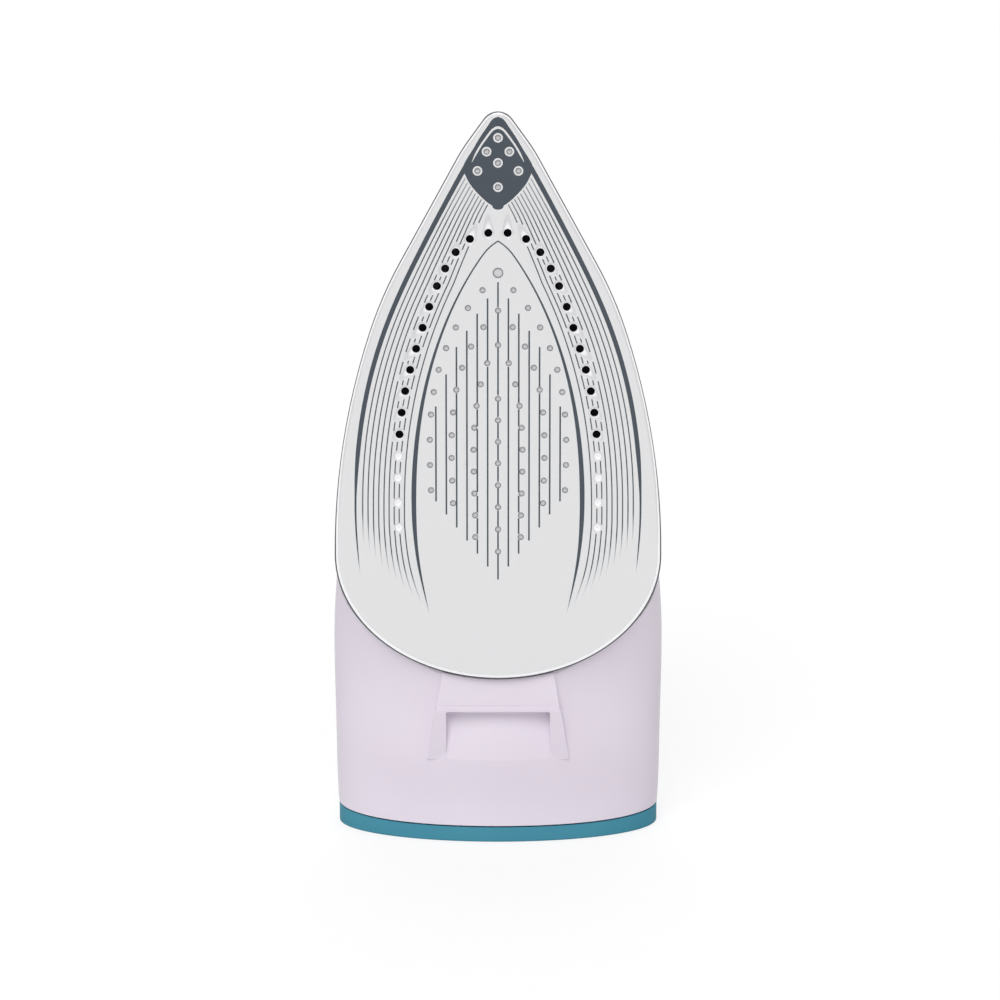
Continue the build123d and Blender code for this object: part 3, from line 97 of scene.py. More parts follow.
# %% Node helpers
def new_material(name):
    """Empty node material with its output node."""
    material = bpy.data.materials.new(name)
    material.use_nodes = True
    material.node_tree.nodes.clear()
    output = material.node_tree.nodes.new("ShaderNodeOutputMaterial")
    return material, material.node_tree, output


def pick(sockets, key):
    """Socket by its place, or the one in use that has this name."""
    if isinstance(key, int):
        return sockets[key]
    wanted = key.lower().replace("_", " ")
    return next((socket for socket in sockets if socket.enabled and socket.name.lower() == wanted), None)


def add(tree, kind, **settings):
    """Node with its settings; a setting whose name is a socket goes to that socket."""
    node = tree.nodes.new(kind)
    for key, value in settings.items():
        socket = pick(node.inputs, key)
        if socket:
            socket.default_value = value
        else:
            setattr(node, key, value)
    return node


def join(tree, out_node, out_socket, in_node, in_socket):
    """Link from one node's output to another node's input."""
    tree.links.new(pick(out_node.outputs, out_socket), pick(in_node.inputs, in_socket))


def srgb(red, green, blue):
    """Screen colour of 0 to 255 as a linear colour: the usual curve with its exponent of 2.4."""
    value = np.array([red, green, blue]) / 255.0
    linear = np.where(value <= 0.04045, value / 12.92, ((value + 0.055) / 1.055) ** 2.4)
    return (*linear.tolist(), 1.0)


# %% [markdown]
# ## Floor and light
# A product photograph on white uses a big pale sweep and large soft lamps, so that shadows stay
# faint. The floor is a real surface that catches the shadow. To the camera and in reflections it is
# mostly a glow, so its shadow stays as faint as in the photograph, while for light that bounces it
# is a plain pale surface. A plain white floor would be simpler, but its shadow would be too dark.

# %% Floor
FLOOR_HALF = 4000.0
FLOOR_TONE = 0.95
FLOOR_SHADE = 0.25
FLOOR_GLOW = 0.765

floor_corners = np.array([[-1, -1, 0], [1, -1, 0], [1, 1, 0], [-1, 1, 0]]) * FLOOR_HALF * MM
floor_mesh = bpy.data.meshes.new("floor")
floor_mesh.from_pydata(floor_corners.tolist(), [], [(0, 1, 2, 3)])
floor = bpy.data.objects.new("floor", floor_mesh)
bpy.context.scene.collection.objects.link(floor)


def looked_at(tree):
    """Node that is 1 for rays from the camera, from a shine and through a clear wall."""
    rays = add(tree, "ShaderNodeLightPath")
    shine = add(tree, "ShaderNodeMath", operation="MAXIMUM")
    through = add(tree, "ShaderNodeMath", operation="MAXIMUM")
    join(tree, rays, "Is Camera Ray", shine, 0)
    join(tree, rays, "Is Glossy Ray", shine, 1)
    join(tree, shine, 0, through, 0)
    join(tree, rays, "Is Transmission Ray", through, 1)
    return through


floor_material, tree, output = new_material("pale_floor")
bounce = add(tree, "ShaderNodeBsdfDiffuse", color=(FLOOR_TONE, FLOOR_TONE, FLOOR_TONE, 1.0))
shade = add(tree, "ShaderNodeBsdfDiffuse", color=(FLOOR_SHADE, FLOOR_SHADE, FLOOR_SHADE, 1.0))
glow = add(tree, "ShaderNodeEmission", color=(1.0, 1.0, 1.0, 1.0), strength=FLOOR_GLOW)
shown = add(tree, "ShaderNodeAddShader")
choose = add(tree, "ShaderNodeMixShader")
join(tree, shade, 0, shown, 0)
join(tree, glow, 0, shown, 1)
join(tree, looked_at(tree), 0, choose, 0)
join(tree, bounce, 0, choose, 1)
join(tree, shown, 0, choose, 2)
join(tree, choose, 0, output, "Surface")
floor_mesh.materials.append(floor_material)
print("floor", 2 * FLOOR_HALF * MM, "m wide")

# %% [markdown]
# The world is the white room round the iron. It is white to the camera, and dimmer as a source of
# light, so that the sides of the iron turn a shade darker than its front. The same choice by kind of
# ray as on the floor does this.

# %% World
WORLD_LIGHT = 0.26

world = bpy.data.worlds.new("white_studio")
world.use_nodes = True
tree = world.node_tree
tree.nodes.clear()
output = tree.nodes.new("ShaderNodeOutputWorld")
lighting = add(tree, "ShaderNodeBackground", color=(1.0, 1.0, 1.0, 1.0), strength=WORLD_LIGHT)
shown = add(tree, "ShaderNodeBackground", color=(1.0, 1.0, 1.0, 1.0), strength=1.0)
choose = add(tree, "ShaderNodeMixShader")
join(tree, looked_at(tree), 0, choose, 0)
join(tree, lighting, 0, choose, 1)
join(tree, shown, 0, choose, 2)
join(tree, choose, 0, output, "Surface")
bpy.context.scene.world = world
bpy.context.scene.view_settings.view_transform = "Standard"
print("world lights with", WORLD_LIGHT)

# %% [markdown]
# Two distant lamps do the shaping: one in front, above and a little to the left, one high behind
# the iron, so that a faint shade falls on the floor in front of the heel. A distant lamp with a wide
# angle throws the same soft light everywhere, so the floor far away is as bright as near the iron.
# Its strength is the light that falls on a surface facing it.

# %% Lamps
LAMP_PLACE = np.array([0.0, -1000.0, 1500.0])


def soft_sun(name, azimuth, elevation, spread, strength):
    """Distant lamp from an azimuth, counted from the front to the right, and an elevation, in degrees."""
    data = bpy.data.lights.new(name, "SUN")
    data.angle = np.radians(spread)
    data.energy = strength
    lamp = bpy.data.objects.new(name, data)
    lamp.rotation_euler = (np.radians(90.0 - elevation), 0.0, np.radians(azimuth))
    lamp.location = LAMP_PLACE * MM
    bpy.context.scene.collection.objects.link(lamp)
    return lamp


soft_sun("front_lamp", -9.0, 42.0, 32.0, 1.85)
soft_sun("rear_lamp", 180.0, 62.0, 50.0, 1.1)

# %% [markdown]
# ## Moulded plastics
# The shell, the heel and the buttons are injection moulded. Such plastic has a fine spark-eroded
# grain, a slow drift of tone where the melt flowed, and a gloss that varies a little with the grain.
# A picture of plastic would need every shell laid out flat. So the slow drift comes from a large
# noise and the grain from a small one, and both read the object's own coordinates, which stay on the
# piece when it moves.

# %% Noise helpers
NOISE_LOW = 0.3
NOISE_HIGH = 0.7


def noise(tree, place, size_mm, detail=3.0):
    """Noise whose grains are about this long: the scale is one over the length."""
    node = add(tree, "ShaderNodeTexNoise", scale=1.0 / size_mm / MM, detail=detail)
    join(tree, place, "Object", node, "Vector")
    return node


def spread(tree, source, socket, low, high):
    """Node that takes the middle of a noise to the range from low to high."""
    node = add(tree, "ShaderNodeMapRange", from_min=NOISE_LOW, from_max=NOISE_HIGH, to_min=low, to_max=high)
    join(tree, source, socket, node, "Value")
    return node


def two_tone(tree, source, socket, one, other):
    """Colour that runs from one tone to the other over the middle of a noise."""
    node = add(tree, "ShaderNodeValToRGB")
    first, last = node.color_ramp.elements
    first.position = NOISE_LOW
    first.color = one
    last.position = NOISE_HIGH
    last.color = other
    join(tree, source, socket, node, "Fac")
    return node


# %% Plastic
DRIFT_MM = 40.0
GRAIN_BUMP = 0.6
GLOSS_SWING = 0.05


def plastic(name, tone, drift_tone, gloss, grain_mm=0.35, grain_height=0.01, **shader):
    """Moulded plastic: the tone drifts slowly, and grain of grain_mm bumps the surface and the gloss."""
    material, tree, output = new_material(name)
    surface = add(tree, "ShaderNodeBsdfPrincipled", **shader)
    place = add(tree, "ShaderNodeTexCoord")
    drift = noise(tree, place, DRIFT_MM, detail=2.0)
    grain = noise(tree, place, grain_mm)
    sheen = spread(tree, grain, "Fac", gloss - GLOSS_SWING, gloss + GLOSS_SWING)
    bump = add(tree, "ShaderNodeBump", strength=GRAIN_BUMP, distance=grain_height * MM)
    join(tree, two_tone(tree, drift, "Fac", tone, drift_tone), "Color", surface, "Base Color")
    join(tree, sheen, "Result", surface, "Roughness")
    join(tree, grain, "Fac", bump, "Height")
    join(tree, bump, "Normal", surface, "Normal")
    join(tree, surface, "BSDF", output, "Surface")
    return material


lilac = plastic("lilac_shell", srgb(231, 223, 234), srgb(229, 220, 232), 0.36, specular_ior_level=0.15)
teal = plastic("teal_shell", srgb(78, 147, 167), srgb(74, 143, 164), 0.45, specular_ior_level=0.02)
black = plastic("black_moulding", srgb(40, 40, 43), srgb(34, 34, 37), 0.5, grain_height=0.02)
pad = plastic("soft_pad", srgb(126, 116, 136), srgb(118, 108, 129), 0.75, 0.8, 0.06, sheen_weight=0.15)
rubber = plastic("silicone_seal", srgb(168, 166, 164), srgb(158, 156, 155), 0.6, 0.5, 0.02)
steatite = plastic("steatite", srgb(228, 224, 214), srgb(218, 212, 200), 0.7, 0.25, 0.03)
lens = plastic("red_lens", srgb(208, 40, 30), srgb(196, 34, 26), 0.12, transmission_weight=0.7, ior=1.5)
clear = plastic("tank_wall", srgb(214, 204, 226), srgb(206, 196, 220), 0.12, 0.6, 0.004,
                transmission_weight=0.85, ior=1.49)
print("plastics:", [kind.name for kind in (lilac, teal, black, pad, rubber, steatite, lens, clear)])

# %% [markdown]
# ## Metals
# The casting is rough aluminium, made dark grey all over as painted shade, so that the steam holes in
# front of it look black; its tone drifts at random between two dark greys. The steel parts are drawn
# or stamped, so their marks run along one axis: the noise is stretched by a Mapping node. The brass
# stem is turned, so its marks run round it. Cut scratches would cost many faces and hardly show, so
# the marks are only in the bump and the gloss.

# %% Metal
TARNISH_MM = 12.0
MARK_BUMP = 0.5
SMOOTHER = 0.08
ROUGHER = 0.1


def metal(name, tone, worn_tone, gloss, stretch, mark_mm, mark_height=0.006):
    """Metal with marks of mark_mm drawn out along the axes whose stretch is small."""
    material, tree, output = new_material(name)
    surface = add(tree, "ShaderNodeBsdfPrincipled", metallic=1.0)
    place = add(tree, "ShaderNodeTexCoord")
    drawn = add(tree, "ShaderNodeMapping", scale=stretch)
    marks = add(tree, "ShaderNodeTexNoise", scale=1.0 / (mark_mm * MM), detail=4.0)
    tarnish = noise(tree, place, TARNISH_MM)
    sheen = spread(tree, marks, "Fac", gloss - SMOOTHER, gloss + ROUGHER)
    bump = add(tree, "ShaderNodeBump", strength=MARK_BUMP, distance=mark_height * MM)
    join(tree, place, "Object", drawn, "Vector")
    join(tree, drawn, "Vector", marks, "Vector")
    join(tree, two_tone(tree, tarnish, "Fac", tone, worn_tone), "Color", surface, "Base Color")
    join(tree, sheen, "Result", surface, "Roughness")
    join(tree, marks, "Fac", bump, "Height")
    join(tree, bump, "Normal", surface, "Normal")
    join(tree, surface, "BSDF", output, "Surface")
    return material


# The casting's dark grey is painted shade for the steam holes in front of it.
casting = metal("casting_dark_shade", srgb(44, 45, 48), srgb(30, 31, 34), 0.6, (1.0, 1.0, 1.0), 0.9, 0.08)
steel = metal("drawn_steel", srgb(196, 196, 198), srgb(176, 176, 180), 0.3, (1.0, 0.06, 1.0), 0.3)
brass = metal("turned_brass", srgb(206, 172, 98), srgb(184, 148, 80), 0.28, (0.2, 1.0, 0.2), 0.3)
print("metals:", [kind.name for kind in (casting, steel, brass)])

# %% [markdown]
# The leads are wires in a woven glass sleeve. Real threads would be thousands of faces on a piece
# inside the handle, so the weave is in the material. It is two sets of slanting waves, one each way,
# and the higher of the two is the thread on top.

# %% Sleeved wire
WAVE_REPEAT = 0.314
THREAD_MM = 0.7
THREAD_TURN = 45.0
THREAD_HEIGHT = 0.1


def wave(tree, place, turn):
    """Straight waves, one to a thread, turned about X by an angle in degrees: at a scale of 1 Blender's
    wave repeats every 0.314 units, so the scale is that over the wanted length."""
    turned = add(tree, "ShaderNodeMapping", rotation=(np.radians(turn), 0.0, 0.0))
    ripple = add(tree, "ShaderNodeTexWave", bands_direction="Z", scale=WAVE_REPEAT / (THREAD_MM * MM))
    join(tree, place, "Object", turned, "Vector")
    join(tree, turned, "Vector", ripple, "Vector")
    return ripple


sleeve, tree, output = new_material("woven_sleeve")
surface = add(tree, "ShaderNodeBsdfPrincipled", sheen_weight=0.2)
place = add(tree, "ShaderNodeTexCoord")
threads = add(tree, "ShaderNodeMath", operation="MAXIMUM")
thread_tone = two_tone(tree, threads, 0, srgb(176, 172, 164), srgb(222, 218, 210))
bump = add(tree, "ShaderNodeBump", strength=0.7, distance=THREAD_HEIGHT * MM)
join(tree, wave(tree, place, THREAD_TURN), "Fac", threads, 0)
join(tree, wave(tree, place, -THREAD_TURN), "Fac", threads, 1)
join(tree, thread_tone, "Color", surface, "Base Color")
join(tree, spread(tree, threads, 0, 0.85, 0.7), "Result", surface, "Roughness")
join(tree, threads, 0, bump, "Height")
join(tree, bump, "Normal", surface, "Normal")
join(tree, surface, "BSDF", output, "Surface")
print("sleeve:", sleeve.name)

# %% [markdown]
# ## Enamel of the gliding face
# The face is coated with a pale satin enamel. Close up it has a fine orange-peel skin and specks.
# In the grooves and cups beside the holes the enamel is made whiter than the face where they are deep,
# as a painted highlight, and a little greyer on the way down and on the floors of the dimples, as
# painted shade. The coating stops on the rounded edge, and behind that line the side of the plate and
# the bores of the holes are bare metal, made dark grey as painted shade. All of these are steps in the
# depth behind the face, Y in the object's coordinates, so no mask has to be painted.

# %% Enamel
ENAMEL_DEPTH = 0.8
ENAMEL_BLEND = 0.06
SPECK_MM = 0.5
SKIN_MM = 1.2
SKIN_HEIGHT = 0.008
TONE_SPAN = 1.0
ENAMEL_TONE = srgb(226, 226, 227)
# Painted light by depth: greyer where shallow and on the dimple floors as painted shade, whiter where deep
# as a painted highlight.
PAINTED_SHADE_TONE = srgb(214, 214, 216)
PAINTED_HIGHLIGHT_TONE = srgb(246, 246, 247)
DEPTH_LIGHT_AND_SHADE = [(0.015, ENAMEL_TONE), (0.08, PAINTED_SHADE_TONE), (0.22, PAINTED_SHADE_TONE), (0.36, PAINTED_HIGHLIGHT_TONE),
               (0.6, PAINTED_HIGHLIGHT_TONE), (0.67, PAINTED_SHADE_TONE)]

enamel, tree, output = new_material("sole_enamel")
surface = add(tree, "ShaderNodeBsdfPrincipled")
place = add(tree, "ShaderNodeTexCoord")
split = add(tree, "ShaderNodeSeparateXYZ")
coat_end = add(tree, "ShaderNodeMapRange", from_min=(SOLE_Y + ENAMEL_DEPTH - ENAMEL_BLEND) * MM,
               from_max=(SOLE_Y + ENAMEL_DEPTH + ENAMEL_BLEND) * MM)
specks = noise(tree, place, SPECK_MM, detail=1.0)
skin = noise(tree, place, SKIN_MM, detail=2.0)
speckle = two_tone(tree, specks, "Fac", (1.0, 1.0, 1.0, 1.0), (0.975, 0.975, 0.98, 1.0))
hollow = add(tree, "ShaderNodeMapRange", from_min=SOLE_Y * MM, from_max=(SOLE_Y + TONE_SPAN) * MM)
tones = add(tree, "ShaderNodeValToRGB")
stops = tones.color_ramp.elements
while len(stops) < len(DEPTH_LIGHT_AND_SHADE):
    stops.new(1.0)
for stop, (depth_mm, tone) in zip(stops, DEPTH_LIGHT_AND_SHADE):
    stop.position = depth_mm / TONE_SPAN
    stop.color = tone
coat = add(tree, "ShaderNodeMix", data_type="RGBA", blend_type="MULTIPLY", factor=1.0)
# Past the end of the coat the colour turns dark grey: bare metal, darkened as painted shade.
paint = add(tree, "ShaderNodeMix", data_type="RGBA", b=srgb(60, 62, 66))
bump = add(tree, "ShaderNodeBump", strength=0.4, distance=SKIN_HEIGHT * MM)
join(tree, place, "Object", split, "Vector")
join(tree, split, "Y", coat_end, "Value")
join(tree, coat_end, "Result", paint, "Factor")
join(tree, split, "Y", hollow, "Value")
join(tree, hollow, "Result", tones, "Fac")
join(tree, tones, "Color", coat, "A")
join(tree, speckle, "Color", coat, "B")
join(tree, coat, "Result", paint, "A")
join(tree, paint, "Result", surface, "Base Color")
join(tree, spread(tree, skin, "Fac", 0.36, 0.46), "Result", surface, "Roughness")
join(tree, skin, "Fac", bump, "Height")
join(tree, bump, "Normal", surface, "Normal")
join(tree, surface, "BSDF", output, "Surface")
print("enamel ends", ENAMEL_DEPTH, "mm behind the face")

# %% [markdown]
# ## Dressing the solids
# Each solid takes the finish of the material it is made of. The record already says which slot each
# solid has, so the finishes are given slot by slot.

# %% Dress
FINISH = {
    "glide": enamel,
    "cast_alloy": casting,
    "steel": steel,
    "brass": brass,
    "seal": rubber,
    "ceramic_white": steatite,
    "black_plastic": black,
    "lilac": lilac,
    "tank": clear,
    "teal": teal,
    "soft_grip": pad,
    "lens_red": lens,
    "wire": sleeve,
}
for part in frame["record"]["subparts"]:
    solid = frame["nodes"][part["node"]]
    solid.data.materials.clear()
    solid.data.materials.append(FINISH[part["material_slot"]])

# %% [markdown]
# ## Print on the gliding face
# The slate lines on the face are screen printed on the enamel. A picture laid on the face would blur
# close up, so each line is a very thin closed strip that lies on the face: four corners at each point
# of its path, half a width to either side. The paths are smooth curves through a few points, and the
# widths swell and taper as the brush-like lines in the print do.

# %% Strips
INK_T = 0.03
INK_SUNK = 0.01
STRIP_CORNERS = 4


def smooth_curve(points, count):
    """Natural cubic spline through a few points, by chord length: bending is solved from the usual
    three-term equations, and each span is a line plus a cubic correction."""
    points = np.array(points, float)
    knots = np.append(0.0, np.cumsum(np.linalg.norm(np.diff(points, axis=0), axis=1)))
    gaps = np.diff(knots)
    slopes = np.diff(points, axis=0) / gaps[:, None]
    system = np.eye(len(points))
    inner = np.arange(1, len(points) - 1)
    system[inner, inner - 1] = gaps[:-1]
    system[inner, inner] = 2 * (gaps[:-1] + gaps[1:])
    system[inner, inner + 1] = gaps[1:]
    right = np.zeros_like(points)
    right[1:-1] = 6 * np.diff(slopes, axis=0)
    bend = np.linalg.solve(system, right)
    reach = np.linspace(0.0, knots[-1], count)
    span = np.clip(np.searchsorted(knots, reach) - 1, 0, len(gaps) - 1)
    gap = gaps[span][:, None]
    before = (knots[span + 1] - reach)[:, None] / gap
    after = 1.0 - before
    cubic = ((before**3 - before) * bend[span] + (after**3 - after) * bend[span + 1]) * gap**2 / 6
    return before * points[span] + after * points[span + 1] + cubic


def ring_stack(rings, loop=False):
    """Corners and faces of a skin over a stack of rings, shaped (rings, points, 3): neighbours join
    in quads, and the first and last ring are closed by flat caps unless the stack loops."""
    count, around = rings.shape[:2]
    index = np.arange(count * around).reshape(count, around)
    if loop:
        index = np.vstack([index, index[:1]])
    turned = np.roll(index, -1, axis=1)
    quads = np.stack([index[:-1], turned[:-1], turned[1:], index[1:]], axis=-1).reshape(-1, 4)
    faces = quads.tolist()
    if not loop:
        faces += [index[0].tolist()[::-1], index[-1].tolist()]
    return rings.reshape(-1, 3), faces


def sideways(path, distances):
    """Step to the right of a path at each of its points, of these lengths."""
    along = np.gradient(path, axis=0)
    along /= np.linalg.norm(along, axis=1)[:, None]
    return np.stack([along[:, 1], -along[:, 0]], axis=1) * np.asarray(distances)[:, None]


def strip(path, widths):
    """Printed strip along a path of (x, z) points: a flat rectangle carried along it."""
    side = sideways(path, np.asarray(widths) / 2)
    low = np.full(len(path), SOLE_Y + INK_SUNK)
    high = np.full(len(path), SOLE_Y - INK_T)
    one, other = path + side, path - side
    corners = [(one, low), (one, high), (other, high), (other, low)]
    rings = np.stack([np.stack([edge[:, 0], y, edge[:, 1]], axis=1) for edge, y in corners], axis=1)
    return ring_stack(rings)


# %% [markdown]
# Every new piece is one mesh of several closed skins. Its faces are turned outwards, and an edge with
# a bend of more than 40 degrees stays sharp when the rest is shaded smooth. The piece then rides on a
# body of the frame, so that it moves with it.

# %% Pieces
SHARP_ANGLE = np.radians(40.0)


def make_piece(name, skins, material, body, strengths=None, smooth=False):
    """Mesh object from several closed skins in millimetres, riding on a body."""
    corners, faces, start = [], [], 0
    for points, polygons in skins:
        corners.append(points)
        faces += [[corner + start for corner in polygon] for polygon in polygons]
        start += len(points)
    mesh = bpy.data.meshes.new(name)
    mesh.from_pydata((np.concatenate(corners) * MM).tolist(), [], faces)
    shell = bmesh.new()
    shell.from_mesh(mesh)
    bmesh.ops.recalc_face_normals(shell, faces=shell.faces)
    shell.to_mesh(mesh)
    shell.free()
    mesh.polygons.foreach_set("use_smooth", np.full(len(mesh.polygons), smooth))
    mesh.set_sharp_from_angle(angle=SHARP_ANGLE)
    if strengths is not None:
        layer = mesh.attributes.new("ink", "FLOAT", "POINT")
        layer.data.foreach_set("value", np.concatenate(strengths))
    mesh.materials.append(material)
    piece = bpy.data.objects.new(name, mesh)
    bpy.context.scene.collection.objects.link(piece)
    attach(piece, body)
    print(name, len(mesh.polygons), "faces")
    return piece


# %% [markdown]
# The ink is a matt slate grey. Where a line runs out, the print fades to the enamel. The fade is a
# number on each corner of the strip, from 0 for bare to 1 for full ink, and the material mixes the
# two colours by it. A fading picture would do the same, but a number needs no layout of the strip.

# %% Ink
SCREEN_MM = 0.3
SCREEN_HEIGHT = 0.004

ink, tree, output = new_material("slate_ink")
surface = add(tree, "ShaderNodeBsdfPrincipled", specular_ior_level=0.25)
place = add(tree, "ShaderNodeTexCoord")
strength = add(tree, "ShaderNodeAttribute", attribute_name="ink")
screen = noise(tree, place, SCREEN_MM, detail=1.0)
pigment = two_tone(tree, screen, "Fac", srgb(70, 77, 85), srgb(75, 82, 90))
mixed = add(tree, "ShaderNodeMix", data_type="RGBA", a=ENAMEL_TONE)
bump = add(tree, "ShaderNodeBump", strength=0.3, distance=SCREEN_HEIGHT * MM)
join(tree, strength, "Fac", mixed, "Factor")
join(tree, pigment, "Color", mixed, "B")
join(tree, mixed, "Result", surface, "Base Color")
join(tree, spread(tree, screen, "Fac", 0.42, 0.55), "Result", surface, "Roughness")
join(tree, screen, "Fac", bump, "Height")
join(tree, bump, "Normal", surface, "Normal")
join(tree, surface, "BSDF", output, "Surface")
print("ink:", ink.name)

# %% [markdown]
# A printed line lies only where the face is flat. It breaks off at each hole, groove and dimple. The
# face's own triangles say where that is: a point of a line is kept if it and its two edges lie in a
# triangle of the flat plane. A point is inside a triangle when it is on the same side of all three
# edges.

# %% Flat part of the face
FLAT_TOLERANCE = 0.005
STRETCH_POINTS = 30
SHORTEST_RUN = 3


def flat_triangles():
    """Triangles of the face's plane as (x, z) corners in millimetres."""
    mesh = frame["nodes"]["sole_face"].data
    corners = np.empty(len(mesh.vertices) * 3)
    mesh.vertices.foreach_get("co", corners)
    mesh.calc_loop_triangles()
    triples = np.empty(len(mesh.loop_triangles) * 3, int)
    mesh.loop_triangles.foreach_get("vertices", triples)
    shapes = corners.reshape(-1, 3)[triples.reshape(-1, 3)] / MM
    flat = np.all(np.abs(shapes[:, :, 1] - SOLE_Y) < FLAT_TOLERANCE, axis=1)
    return shapes[flat][:, :, [0, 2]]


FLAT = flat_triangles()


def on_flat(points):
    """True for each point inside some flat triangle: its three edge products share a sign. Only the
    triangles whose box meets the box of a short stretch of points are tried."""
    inside = np.zeros(len(points), bool)
    low, high = FLAT.min(axis=1), FLAT.max(axis=1)
    for group in np.array_split(np.arange(len(points)), len(points) // STRETCH_POINTS + 1):
        spots = points[group]
        near = np.all((low <= spots.max(axis=0)) & (high >= spots.min(axis=0)), axis=1)
        edge = np.roll(FLAT[near], -1, axis=1) - FLAT[near]
        reach = spots[:, None, None] - FLAT[near][None]
        turn = edge[..., 0] * reach[..., 1] - edge[..., 1] * reach[..., 0]
        inside[group] = np.any(np.all(turn >= 0, axis=2) | np.all(turn <= 0, axis=2), axis=1)
    return inside


def printed_runs(path, widths, strengths, share=1.0):
    """Strips for the flat stretches of a path, with the ink strength of each corner. The share says
    how much of the width has to lie on the flat."""
    side = sideways(path, widths * share / 2)
    kept = on_flat(path) & on_flat(path + side) & on_flat(path - side)
    places = np.flatnonzero(kept)
    groups = np.split(places, np.flatnonzero(np.diff(places) != 1) + 1)
    groups = [group for group in groups if len(group) >= SHORTEST_RUN]
    skins = [strip(path[group], widths[group]) for group in groups]
    return skins, [np.repeat(strengths[group], STRIP_CORNERS) for group in groups]


def mirrored_runs(path, widths, strengths, share=1.0):
    """Runs of a path and of its mirror image on the left."""
    skins, tones = printed_runs(path, widths, strengths, share)
    other_skins, other_tones = printed_runs(path * [-1, 1], widths, strengths, share)
    return skins + other_skins, tones + other_tones


print("flat triangles:", len(FLAT))

# %% [markdown]
# ### The band and the lens
# Two bold lines on each side give the print its shape. The outer band starts at the dark nose, keeps
# its width down the side and thins out above the heel. The inner line rises to a peak under the
# nose, like a pointed arch, and swells at its widest place.

# %% Band and lens
BAND_POINTS = [(11.9, 257.0), (13.4, 254.3), (27.9, 227.0), (39.7, 201.3), (48.3, 171.8),
               (51.9, 142.0), (52.1, 126.0), (50.7, 107.0)]
BAND_WIDTHS = ([107.0, 112.0, 120.0, 136.0, 142.0, 152.0, 257.0],
               [0.1, 0.3, 0.55, 0.75, 1.1, 1.65, 1.75])
BAND_FADE = ([107.0, 113.0], [0.2, 1.0])
LENS_POINTS = [(0.0, 230.3), (3.1, 227.9), (6.8, 223.3), (18.5, 201.3), (27.3, 171.8),
               (30.8, 136.0), (29.3, 111.5), (25.4, 92.3)]
LENS_WIDTHS = ([92.3, 110.0, 118.0, 127.0, 138.0, 157.0, 167.0, 190.0, 212.0, 230.3],
               [0.1, 1.0, 1.25, 1.65, 1.8, 1.55, 1.35, 0.95, 0.6, 0.45])
LENS_FADE = ([92.3, 97.0], [0.4, 1.0])
BOLD_POINTS = 420


def by_height(table, path):
    """Value at each point's height, from a table of heights and values."""
    return np.interp(path[:, 1], *table)


band_path = smooth_curve(BAND_POINTS, BOLD_POINTS)
band_width = by_height(BAND_WIDTHS, band_path)
skins, tones = mirrored_runs(band_path, band_width, by_height(BAND_FADE, band_path))
make_piece("print_outer_band", skins, ink, "iron", tones)

lens_path = smooth_curve(LENS_POINTS, BOLD_POINTS)
lens_width = by_height(LENS_WIDTHS, lens_path)
skins, tones = mirrored_runs(lens_path, lens_width, by_height(LENS_FADE, lens_path))
make_piece("print_lens_line", skins, ink, "iron", tones)

# %% [markdown]
# ### Fine lines
# Nine hair lines follow the band on its inner side, a little under 2 mm apart. They start under the
# nose, crowd together a little there, spread near their lower ends, and fade out one after another.
# Nine curves could be drawn one by one, but they would not stay parallel. So each is the band's own
# path, drawn on a little further at its foot and moved towards the middle.

# %% Fine lines
FOOT_POINT = (47.2, 94.0)
FOOT_PATH_POINTS = 460
FINE_OFFSETS = np.array([2.57, 4.52, 6.5, 8.42, 10.36, 12.24, 14.08, 15.91, 17.86])
FINE_ENDS = np.linspace(117.5, 94.5, len(FINE_OFFSETS))
FINE_WIDTH = 0.42
FINE_FADE = 12.0
FINE_FOOT_SHARE = 0.4
FINE_NOSE_GAP = 0.8
FINE_MIDDLE_GAP = 1.0
PALE_HEIGHTS = (236.0, 252.0)
PALE_INK = (1.0, 0.6)
LINE_SHARE = 0.5
FINE_SPREAD = ([94.0, 125.0, 215.0, 240.0], [1.1, 1.0, 1.0, 0.87])
NOSE_EDGE = ([0.0, 2.6, 6.8, 10.4, 12.2], [243.0, 243.9, 247.1, 251.5, 255.3])

long_path = smooth_curve([*BAND_POINTS, FOOT_POINT], FOOT_PATH_POINTS)
skins, tones = [], []
for offset, end in zip(FINE_OFFSETS, FINE_ENDS):
    line = long_path.copy()
    line[:, 0] -= offset * by_height(FINE_SPREAD, long_path)
    start = np.interp(np.abs(line[:, 0]), *NOSE_EDGE) - FINE_NOSE_GAP
    line = line[(line[:, 1] < start) & (line[:, 1] > end) & (line[:, 0] > FINE_MIDDLE_GAP)]
    foot = [end, end + FINE_FADE]
    fade = np.interp(line[:, 1], [*foot, *PALE_HEIGHTS], [0.0, 1.0, *PALE_INK])
    width = FINE_WIDTH * np.interp(line[:, 1], foot, [FINE_FOOT_SHARE, 1.0])
    more_skins, more_tones = mirrored_runs(line, width, fade, LINE_SHARE)
    skins += more_skins
    tones += more_tones
make_piece("print_fine_lines", skins, ink, "iron", tones)

# %% [markdown]
# ### Upright lines
# Inside the lens thirteen straight lines run down the face, the longest in the middle. Their feet
# step up by the same amount from each line to the next, and their tops follow the arch.

# %% Upright lines
UPRIGHT_PITCH = 3.78
UPRIGHT_TOPS = [215.3, 209.4, 203.7, 197.6, 191.4, 181.6, 169.7]
UPRIGHT_FOOT = 104.6
UPRIGHT_FOOT_STEP = 4.9
UPRIGHT_WIDTH = 0.58
UPRIGHT_STEP = 0.35

